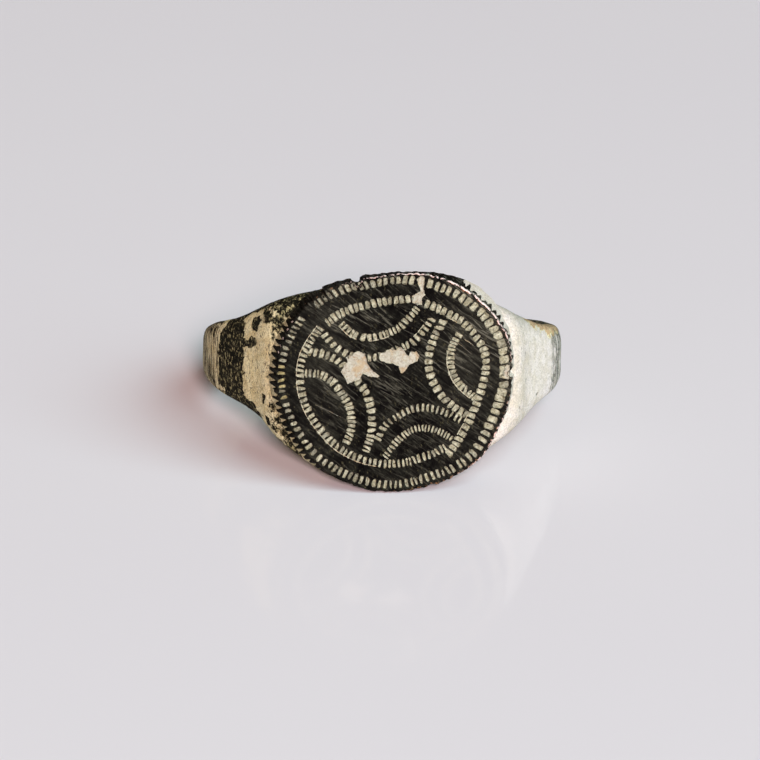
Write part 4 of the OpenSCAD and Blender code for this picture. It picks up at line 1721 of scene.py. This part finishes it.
@dataclass(frozen=True)
class RubbedScratches:
    """Fine scratches that nearly all run one way across the face."""

    stretch: float = 0.5
    density: float = 6.2
    lines: Pattern = Pattern(1.0, 4.0, 0.7)
    line_edge: Span = (0.57, 0.65)
    second_density: float = 9.0
    second_turn: float = 0.2
    second_lines: Pattern = Pattern(1.0, 3.0, 0.65)
    second_edge: Span = (0.58, 0.66)
    fields: Pattern = Pattern(1.0, 3.0, 0.6)
    field_stretch: Size = (0.3, 1.0, 1.6)
    field_edge: Span = (0.28, 0.6)
    shade_edge: Span = (0.8, 1.15)

    def tree(self) -> bpy.types.NodeTree:
        """Builds the node group.

        Returns:
            A tree whose Mask is 1 on the bright scratches, and whose Shade wanders from 0 to 1 in
            close dark and light lines.
        """
        nodes, given, result = open_group(
            "Rubbed scratches",
            {"Position": Kind.VECTOR, "Angle": Kind.VALUE}, {"Mask": Kind.VALUE, "Shade": Kind.VALUE},
        )
        position, angle = given["Position"], given["Angle"]
        turned = nodes.turned(position, angle)
        crossed = nodes.turned(position, nodes.minus(angle, self.second_turn))
        lines = nodes.noise(nodes.scaled(turned, (self.stretch, 1.0, self.density)), self.lines)
        second_size = (2 * self.stretch, 1.0, self.second_density)
        second = nodes.noise(nodes.scaled(crossed, second_size), self.second_lines)
        fields = nodes.noise(nodes.scaled(turned, self.field_stretch), self.fields)
        both = nodes.most(nodes.step(lines, *self.line_edge), nodes.step(second, *self.second_edge))
        nodes.feed(result["Mask"], nodes.times(both, nodes.step(fields, *self.field_edge)))
        nodes.feed(result["Shade"], nodes.step(nodes.plus(lines, second), *self.shade_edge))
        return nodes.tree


@dataclass(frozen=True)
class Effects:
    """The node groups that both finishes of the ring use."""

    deposit: bpy.types.NodeTree
    mottling: bpy.types.NodeTree
    scratches: bpy.types.NodeTree

    @classmethod
    def build(cls) -> "Effects":
        """Builds each group once."""
        return cls(RaggedDeposit().tree(), Mottling().tree(), RubbedScratches().tree())


@dataclass(frozen=True)
class AgedBronze:
    """Dark bronze under a flaking mineral deposit, rubbed bright along its edges.

    Colours of three numbers are as read off a picture, and those of four are linear. A span is
    where a mask starts and ends, or the least and the greatest strength of something.
    """

    name: str
    dark: Rgb = (7, 6, 6)
    dark_light: Rgb = (37, 37, 31)
    dark_fleck: Rgb = (68, 65, 47)
    dark_mottle: Size = (1.6, 0.12, 0.6)
    pale_bare: Rgb = (7, 6, 6)
    pale_edge: Span = (0.1, 0.34)
    scratch: Rgb = (95, 94, 82)
    scratch_share: float = 0.47
    scratch_angle: float = -30.0
    scratch_relief: float = 0.35
    line_shade: float = 0.75
    quiet_left: float = 0.0
    left_edge: Span = (-6.0, -3.8)
    loud_up: Span = (0.45, 1.4)
    loud_up_edge: Span = (-3.5, 3.0)
    loud_right: float = 1.3
    loud_right_edge: Span = (2.0, 4.5)
    rubbed_dark: Rgb = (68, 67, 58)
    rubbed_sides: float = 0.0
    side_edge: Span = (1.6, 4.2)
    rubbed_brown: Rgb = (100, 76, 54)
    # bright rubbed metal, also the colour of the painted glints on the rim's side
    rubbed_and_glint_bright: Rgb = (212, 192, 184)
    rub_edge: Span = (0.5, 0.62)
    bright_edge: Span = (0.45, 0.62)
    rub_raggedness: float = 1.7
    rub_metallic: float = 0.6
    cream: Rgb = (224, 219, 213)
    cream_deep: Rgb = (206, 200, 186)
    cream_fleck: Rgb = (172, 164, 140)
    cream_mottle: Size = (1.7, 0.09, 0.2)
    tan: Rgb = (236, 231, 180)
    tan_deep: Rgb = (214, 201, 142)
    tan_fleck: Rgb = (104, 96, 62)
    tan_mottle: Size = (1.5, 0.15, 0.45)
    lip_brown: Rgb = (198, 170, 132)
    lip_edge: Span = (1.5, 1.75)
    lip_spot_edge: Span = (1.1, 1.4)
    lip_spot_share: float = 0.75
    # grey that the painted shade multiplies into the deposit
    painted_shade: Colour = (0.78, 0.78, 0.79, 1.0)
    grey_fill: Rgb = (110, 110, 100)
    cream_fill: Rgb = (190, 190, 165)
    chalk_fill: Rgb = (177, 176, 160)
    rust_fill: Rgb = (166, 157, 114)
    dust_light: Colour = (1.0, 1.0, 1.0, 1.0)
    dust_deep: Colour = (0.66, 0.63, 0.56, 1.0)
    dust_fleck: Colour = (0.34, 0.29, 0.21, 1.0)
    dust_mottle: Size = (3.6, 0.12, 0.5)
    held_edge: Span = (0.2, 0.34)
    held_raggedness: float = 1.15
    # colour of the dirt in the strokes and of their painted edge shade
    gap_dirt_and_shade: Rgb = (52, 48, 38)
    chip_dust: float = 0.55
    chip_brown: Rgb = (166, 142, 102)
    chip_brown_share: float = 0.6
    chip_speck: Rgb = (66, 50, 34)
    chip_vein: Rgb = (122, 92, 60)
    chip_vein_share: float = 0.5
    flake: float = 1.9
    raggedness: float = 1.1
    metal_roughness: float = 0.4
    metal_roughness_spread: float = 0.2
    metal_gloss: float = 0.01
    deposit_roughness: float = 0.88
    bump: float = 0.00003

    def material(self, effects: Effects) -> bpy.types.Material:
        """Builds the finish from the shared groups.

        Args:
            effects: the shared node groups.

        Returns:
            The material.
        """
        made = bpy.data.materials.new(self.name)
        made.use_nodes = True
        nodes = Nodes(made.node_tree)
        shader = made.node_tree.nodes["Principled BSDF"].inputs
        shader["Specular IOR Level"].default_value = self.metal_gloss
        own = nodes.attribute("own", "Vector")
        warmth, fill, wear = (nodes.attribute(name) for name in ("warmth", "fill", "wear"))
        deposit = nodes.group(
            effects.deposit, Position=own, Cover=nodes.attribute("cover"),
            Streak=nodes.attribute("streak"), Flake=self.flake, Raggedness=self.raggedness,
        )
        crumbs = nodes.minus(nodes.noise(own, CRUMBS), 0.5)
        held = nodes.step(nodes.plus(fill, nodes.times(crumbs, self.held_raggedness)), *self.held_edge)
        held = nodes.times(held, nodes.step(fill, 0.0, 0.06))
        cover = nodes.most(deposit["Mask"], held)

        metal = self.metal(nodes, effects, own, warmth)
        colour = nodes.mix(cover, metal, self.crust(nodes, effects, own, warmth, fill))
        rub = nodes.step(nodes.plus(wear, nodes.times(crumbs, self.rub_raggedness)), *self.rub_edge)
        rub = nodes.times(rub, nodes.rest(cover))
        # the wear attribute also holds the painted glints, which come out in the bright colour
        lit = nodes.step(wear, *self.bright_edge)
        bright = nodes.mix(lit, srgb(*self.rubbed_brown), srgb(*self.rubbed_and_glint_bright))
        nodes.feed(shader["Base Color"], nodes.mix(rub, colour, bright))
        nodes.feed(shader["Metallic"], nodes.times(rub, self.rub_metallic))

        sand = nodes.noise(own, SAND)
        rough = nodes.plus(self.metal_roughness, nodes.times(sand, self.metal_roughness_spread))
        nodes.feed(shader["Roughness"], nodes.between(cover, rough, self.deposit_roughness))
        marks = nodes.group(effects.scratches, Position=own, Angle=math.radians(self.scratch_angle))
        relief = nodes.plus(
            nodes.times(deposit["Height"], 0.9),
            nodes.times(marks["Shade"], self.scratch_relief * self.scratch_share),
            nodes.times(sand, nodes.between(cover, 0.25, 0.9)),
        )
        bump = nodes.run("ShaderNodeBump", {"Distance": self.bump, "Height": relief})
        nodes.feed(shader["Normal"], bump["Normal"])
        return made

    @staticmethod
    def mottled(
        nodes: Nodes, effects: Effects, own: Feed, colours: Sequence[Colour], mottle: Size
    ) -> bpy.types.NodeSocket:
        """Mottled colour.

        Args:
            nodes: the material's nodes.
            effects: the shared node groups.
            own: place in the ring's millimetres.
            colours: the light, the deep and the fleck colour.
            mottle: bumps per millimetre, share of flecks and strength of the fine shading.

        Returns:
            The colour.
        """
        light, deep, fleck = colours
        size, share, fine = mottle
        return nodes.group(
            effects.mottling, Position=own, Light=light, Deep=deep, Fleck=fleck, Patch_size=size,
            Fleck_share=share, Grain=fine,
        )["Color"]

    def metal(self, nodes: Nodes, effects: Effects, own: Feed, warmth: Feed) -> bpy.types.NodeSocket:
        """Colour of the bare metal, with its scratches.

        Args:
            nodes: the material's nodes.
            effects: the shared node groups.
            own: place in the ring's millimetres.
            warmth: warmth of the deposit beside it; the metal is pale where that is cool.

        Returns:
            The colour.
        """
        dark = srgb(*self.dark)
        colours = (srgb(*self.dark_light), dark, srgb(*self.dark_fleck))
        base = self.mottled(nodes, effects, own, colours, self.dark_mottle)
        wander = nodes.times(nodes.minus(nodes.noise(own, WANDER), 0.5), 0.9)
        pale = nodes.rest(nodes.step(nodes.plus(warmth, wander), *self.pale_edge))
        base = nodes.mix(pale, base, srgb(*self.pale_bare))
        marks = nodes.group(effects.scratches, Position=own, Angle=math.radians(self.scratch_angle))
        place = nodes.parts(own)
        left = nodes.rest(nodes.step(place["X"], *self.left_edge))
        loud = nodes.times(
            nodes.rest(nodes.times(left, self.quiet_left)),
            nodes.between(nodes.step(place["Z"], *self.loud_up_edge), *self.loud_up),
            nodes.between(nodes.step(place["X"], *self.loud_right_edge), 1.0, self.loud_right),
        )
        aside = nodes.step(nodes.math("ABSOLUTE", place["X"]), *self.side_edge)
        rubbed = nodes.times(aside, loud, self.rubbed_sides)
        base = nodes.mix(rubbed, base, srgb(*self.rubbed_dark))
        lined = nodes.mix(nodes.times(nodes.rest(marks["Shade"]), self.line_shade), base, dark)
        share = nodes.times(marks["Mask"], loud, self.scratch_share)
        return nodes.mix(share, lined, srgb(*self.scratch))

    def crust(
        self, nodes: Nodes, effects: Effects, own: Feed, warmth: Feed, fill: Feed
    ) -> bpy.types.NodeSocket:
        """Colour of the deposit, on the band and in the cuts.

        Args:
            nodes: the material's nodes.
            effects: the shared node groups.
            own: place in the ring's millimetres.
            warmth: 0 where the deposit is pale, 1 where it is tan and more where it is brown.
            fill: how full of deposit a cut is, and 0 outside the cuts.

        Returns:
            The colour.
        """
        creams = [srgb(*tone) for tone in (self.cream, self.cream_deep, self.cream_fleck)]
        tans = [srgb(*tone) for tone in (self.tan, self.tan_deep, self.tan_fleck)]
        pale = self.mottled(nodes, effects, own, creams, self.cream_mottle)
        warm = self.mottled(nodes, effects, own, tans, self.tan_mottle)
        shell = nodes.mix(warmth, pale, warm)
        brown = nodes.plus(warmth, nodes.times(nodes.noise(own, LIP_PATCHES), 0.9))
        shell = nodes.mix(nodes.step(brown, *self.lip_edge), shell, srgb(*self.lip_brown))
        spots = nodes.step(nodes.noise(own, LIP_SPOTS), 0.56, 0.64)
        spots = nodes.times(spots, nodes.step(warmth, *self.lip_spot_edge), self.lip_spot_share)
        shell = nodes.mix(spots, shell, srgb(*self.chip_speck))
        # painted shade: the deposit is multiplied towards grey where the mesh marks shade
        shell = nodes.mix(nodes.attribute("painted_shade"), shell, self.painted_shade, Blend.MULTIPLY)
        return nodes.mix(nodes.step(fill, 0.02, 0.1), shell, self.packed(nodes, effects, own))

    def packed(self, nodes: Nodes, effects: Effects, own: Feed) -> bpy.types.NodeSocket:
        """Colour of the deposit in the cuts: dusty strokes and stained, veined chips.

        Args:
            nodes: the material's nodes.
            effects: the shared node groups.
            own: place in the ring's millimetres.

        Returns:
            The colour.
        """
        ramp = nodes.add("ShaderNodeValToRGB")
        nodes.feed(ramp.inputs["Fac"], nodes.attribute("tone"))
        stops = ramp.color_ramp.elements
        stops[0].color, stops[0].position = srgb(*self.grey_fill), Tone.GREY.value
        stops[1].color, stops[1].position = srgb(*self.rust_fill), Tone.RUST.value
        stops.new(Tone.CREAM.value).color = srgb(*self.cream_fill)
        stops.new(Tone.CHALK.value).color = srgb(*self.chalk_fill)
        dusts = (self.dust_light, self.dust_deep, self.dust_fleck)
        dust = self.mottled(nodes, effects, own, dusts, self.dust_mottle)
        stroke, chip = self.soiling_and_edge_shade(nodes, own)
        dusty = nodes.rest(nodes.times(chip, self.chip_dust))
        packed = nodes.mix(dusty, ramp.outputs["Color"], dust, Blend.MULTIPLY)
        # dirt, and painted shade at the strokes' edges
        packed = nodes.mix(stroke, packed, srgb(*self.gap_dirt_and_shade))
        stains = nodes.step(nodes.noise(own, STAINS), 0.49, 0.66)
        stained = nodes.times(stains, chip, self.chip_brown_share)
        packed = nodes.mix(stained, packed, srgb(*self.chip_brown))
        specks = nodes.step(nodes.noise(own, SPECKS), 0.66, 0.71)
        packed = nodes.mix(nodes.times(specks, chip), packed, srgb(*self.chip_speck))
        ridge = nodes.math("ABSOLUTE", nodes.minus(nodes.noise(own, VEINS), 0.5))
        veins = nodes.most(nodes.minus(chip, nodes.step(ridge, 0.004, 0.02)), 0.0)
        return nodes.mix(nodes.times(veins, self.chip_vein_share), packed, srgb(*self.chip_vein))

    @staticmethod
    def soiling_and_edge_shade(nodes: Nodes, own: Feed) -> tuple[bpy.types.NodeSocket, bpy.types.NodeSocket]:
        """Dirt in the strokes, and painted shade towards each stroke's sides and ends.

        Args:
            nodes: the material's nodes.
            own: place in the ring's millimetres.

        Returns:
            How far dirt and painted edge shade darken the deposit of a stroke, and whether a place
            lies in no stroke.
        """
        lie = nodes.attribute("lie", "Vector")
        place = nodes.parts(lie)
        side = nodes.most(nodes.math("ABSOLUTE", place["X"]), nodes.math("ABSOLUTE", place["Y"]))
        cracks = nodes.step(nodes.noise(nodes.scaled(lie, (2.0, 0.4, 3.7)), CRACKS), 0.54, 0.68)
        each = nodes.step(nodes.noise(nodes.scaled(lie, (0.35, 0.45, 2.9)), EACH_STROKE), 0.4, 0.75)
        crumbled = nodes.step(nodes.noise(own, CRUMBLING), 0.52, 0.7)
        soiled_and_edge_shaded = nodes.most(
            nodes.times(cracks, 0.6), nodes.times(each, 0.4),
            # painted shade: darker towards the stroke's sides and ends, so it looks rounded
            nodes.times(nodes.step(side, 0.6, 1.0), 0.55), nodes.times(crumbled, 0.6),
        )
        inside = nodes.math("GREATER_THAN", place["Z"], 0.0)
        return nodes.times(soiled_and_edge_shaded, inside), nodes.rest(inside)


@dataclass(frozen=True)
class PaleTable:
    """The plain pale table that the ring lies on, with a faint gloss."""

    size: float = 3.0
    light: Rgb = (228, 226, 228)
    deep: Rgb = (225, 222, 225)
    clouds: Pattern = Pattern(20.0, 2.0, 0.55)
    roughness: float = 0.08
    gloss: float = 0.15

    def build(self) -> bpy.types.Object:
        """Builds the table top.

        Returns:
            The object.
        """
        half = self.size / 2
        mesh = bpy.data.meshes.new("table")
        corners = [(-half, -half, 0), (half, -half, 0), (half, half, 0), (-half, half, 0)]
        mesh.from_pydata(corners, [], [(0, 1, 2, 3)])
        mesh.materials.append(self.material())
        obj = bpy.data.objects.new("table", mesh)
        obj.location.z = CAD_BOX[0].z
        bpy.context.scene.collection.objects.link(obj)
        return obj

    def material(self) -> bpy.types.Material:
        """Builds the table's finish, which is faintly clouded.

        Returns:
            The material.
        """
        made = bpy.data.materials.new("pale table")
        made.use_nodes = True
        nodes = Nodes(made.node_tree)
        shader = made.node_tree.nodes["Principled BSDF"].inputs
        cloud = nodes.noise(nodes.run("ShaderNodeTexCoord", {})["Object"], self.clouds)
        nodes.feed(shader["Base Color"], nodes.mix(cloud, srgb(*self.light), srgb(*self.deep)))
        shader["Roughness"].default_value = self.roughness
        shader["Specular IOR Level"].default_value = self.gloss
        return made


@dataclass(frozen=True)
class SoftLight:
    """A round soft light that points at the ring. Azimuth 0 is towards +X and 90 towards +Y."""

    name: str
    azimuth: float
    elevation: float
    distance: float
    size: float
    watts: float
    colour: tuple[float, float, float]

    def build(self) -> bpy.types.Object:
        """Builds the light.

        Returns:
            The object.
        """
        lamp = bpy.data.lights.new(self.name, "AREA")
        lamp.shape = "DISK"
        lamp.size = self.size
        lamp.energy = self.watts
        lamp.color = self.colour
        a, e = math.radians(self.azimuth), math.radians(self.elevation)
        back = Vector((math.cos(a) * math.cos(e), math.sin(a) * math.cos(e), math.sin(e)))
        facing = back.to_track_quat("Z", "Y").to_matrix().to_4x4()
        obj = bpy.data.objects.new(self.name, lamp)
        obj.matrix_world = Matrix.Translation(back * self.distance) @ facing
        bpy.context.scene.collection.objects.link(obj)
        return obj


@dataclass(frozen=True)
class Studio:
    """A wide, cool light from the front right, a small, warm one from the front and a dim sky."""

    lights: tuple[SoftLight, ...] = (
        SoftLight("wide key", 314.4, 42.2, 2.0, 1.89, 42.0, (0.667, 0.933, 1.0)),
        SoftLight("warm front", 270.2, 26.0, 4.0, 0.84, 186.0, (1.0, 0.745, 0.743)),
    )
    horizon: Colour = (0.05, 0.035, 0.03, 1.0)
    zenith: Colour = (0.1, 0.065, 0.03, 1.0)
    rise: Span = (0.35, 0.8)

    def build(self) -> None:
        """Builds the lights and the sky."""
        for light in self.lights:
            light.build()
        world = bpy.data.worlds.new("studio")
        bpy.context.scene.world = world
        world.use_nodes = True
        nodes = Nodes(world.node_tree)
        direction = nodes.parts(nodes.run("ShaderNodeTexCoord", {})["Generated"])
        sky = nodes.mix(nodes.step(direction["Z"], *self.rise), self.horizon, self.zenith)
        nodes.feed(world.node_tree.nodes["Background"].inputs["Color"], sky)
        bpy.context.scene.view_settings.view_transform = "Standard"


@dataclass(frozen=True)
class PhotoCamera:
    """The camera, set in the ring's own frame by what the photograph shows.

    The ring's middle plane is seen from elevation degrees above it and azimuth degrees to the
    right of the face, at a distance in millimetres from the middle of the finger hole, which
    lies at hole_px. The scale at that distance is in pixels of the photograph per millimetre.
    """

    azimuth: float = -4.1
    elevation: float = 9.0
    distance: float = 350.0
    scale: float = 17.05
    frame_px: float = 760.0
    hole_px: Point = (382.0, 354.8)
    sensor: float = 36.0
    nearest: float = 0.01

    def build(self, own: RingFrame) -> bpy.types.Object:
        """Builds the camera and makes it the scene's own.

        Args:
            own: the ring's frame.

        Returns:
            The camera object.
        """
        a, e = math.radians(self.azimuth), math.radians(self.elevation)
        back = own.turn((math.sin(a) * math.cos(e), -math.cos(a) * math.cos(e), math.sin(e)))
        right = own.turn((math.cos(a), math.sin(a), 0.0))
        up = back.cross(right)
        across = (self.hole_px[0] - self.frame_px / 2) / self.scale
        above = (self.frame_px / 2 - self.hole_px[1]) / self.scale
        eye = own.centre + (self.distance * back - across * right - above * up) * MM
        data = bpy.data.cameras.new("photo camera")
        data.sensor_width = self.sensor
        data.lens = self.scale * self.distance * self.sensor / self.frame_px
        data.clip_start = self.nearest
        obj = bpy.data.objects.new("photo camera", data)
        obj.matrix_world = Matrix.Translation(eye) @ Matrix((right, up, back)).transposed().to_4x4()
        bpy.context.scene.collection.objects.link(obj)
        bpy.context.scene.camera = obj
        return obj


HOOP_FINISH = AgedBronze(
    "crusted bronze", dark=(18, 18, 13), dark_light=(44, 44, 32), dark_fleck=(172, 166, 122),
    dark_mottle=(1.6, 0.19, 0.6), pale_bare=(150, 152, 139), scratch=(112, 108, 84),
    scratch_share=0.35, raggedness=1.3,
)
BEZEL_FINISH = AgedBronze(
    "rubbed bronze", cream=(212, 207, 197), cream_deep=(198, 192, 178), tan=(206, 200, 154),
    tan_deep=(168, 157, 110), quiet_left=0.8, rubbed_sides=0.16, raggedness=0.7, flake=3.2,
)


def dress(piece: bpy.types.Object, finish: bpy.types.Material) -> None:
    """Gives a piece its finish and says what it stands for.

    Args:
        piece: the piece.
        finish: its material.
    """
    piece.data.materials.append(finish)
    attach(piece, "root")
    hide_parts("ring")
    log.info("%s: %d faces", piece.name, len(piece.data.polygons))


def main() -> None:
    """Builds the ring, the table, the lights and the camera."""
    logging.basicConfig(level=logging.INFO, format="%(name)s: %(message)s")
    mount = frame["record"]["mounts"][0]
    own = RingFrame.of_bore(mount)
    lowest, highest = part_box("ring")
    shape = RingShape(bore_r=mount["dims"]["r_mm"], side_r=(highest[0] - lowest[0]) / 2 / MM)
    PhotoCamera().build(own)
    effects = Effects.build()
    dress(Hoop(shape, own).build(), HOOP_FINISH.material(effects))
    dress(Bezel(shape, own, Engraving(shape)).build(), BEZEL_FINISH.material(effects))
    PaleTable().build()
    Studio().build()


if __name__ == "__main__":
    main()
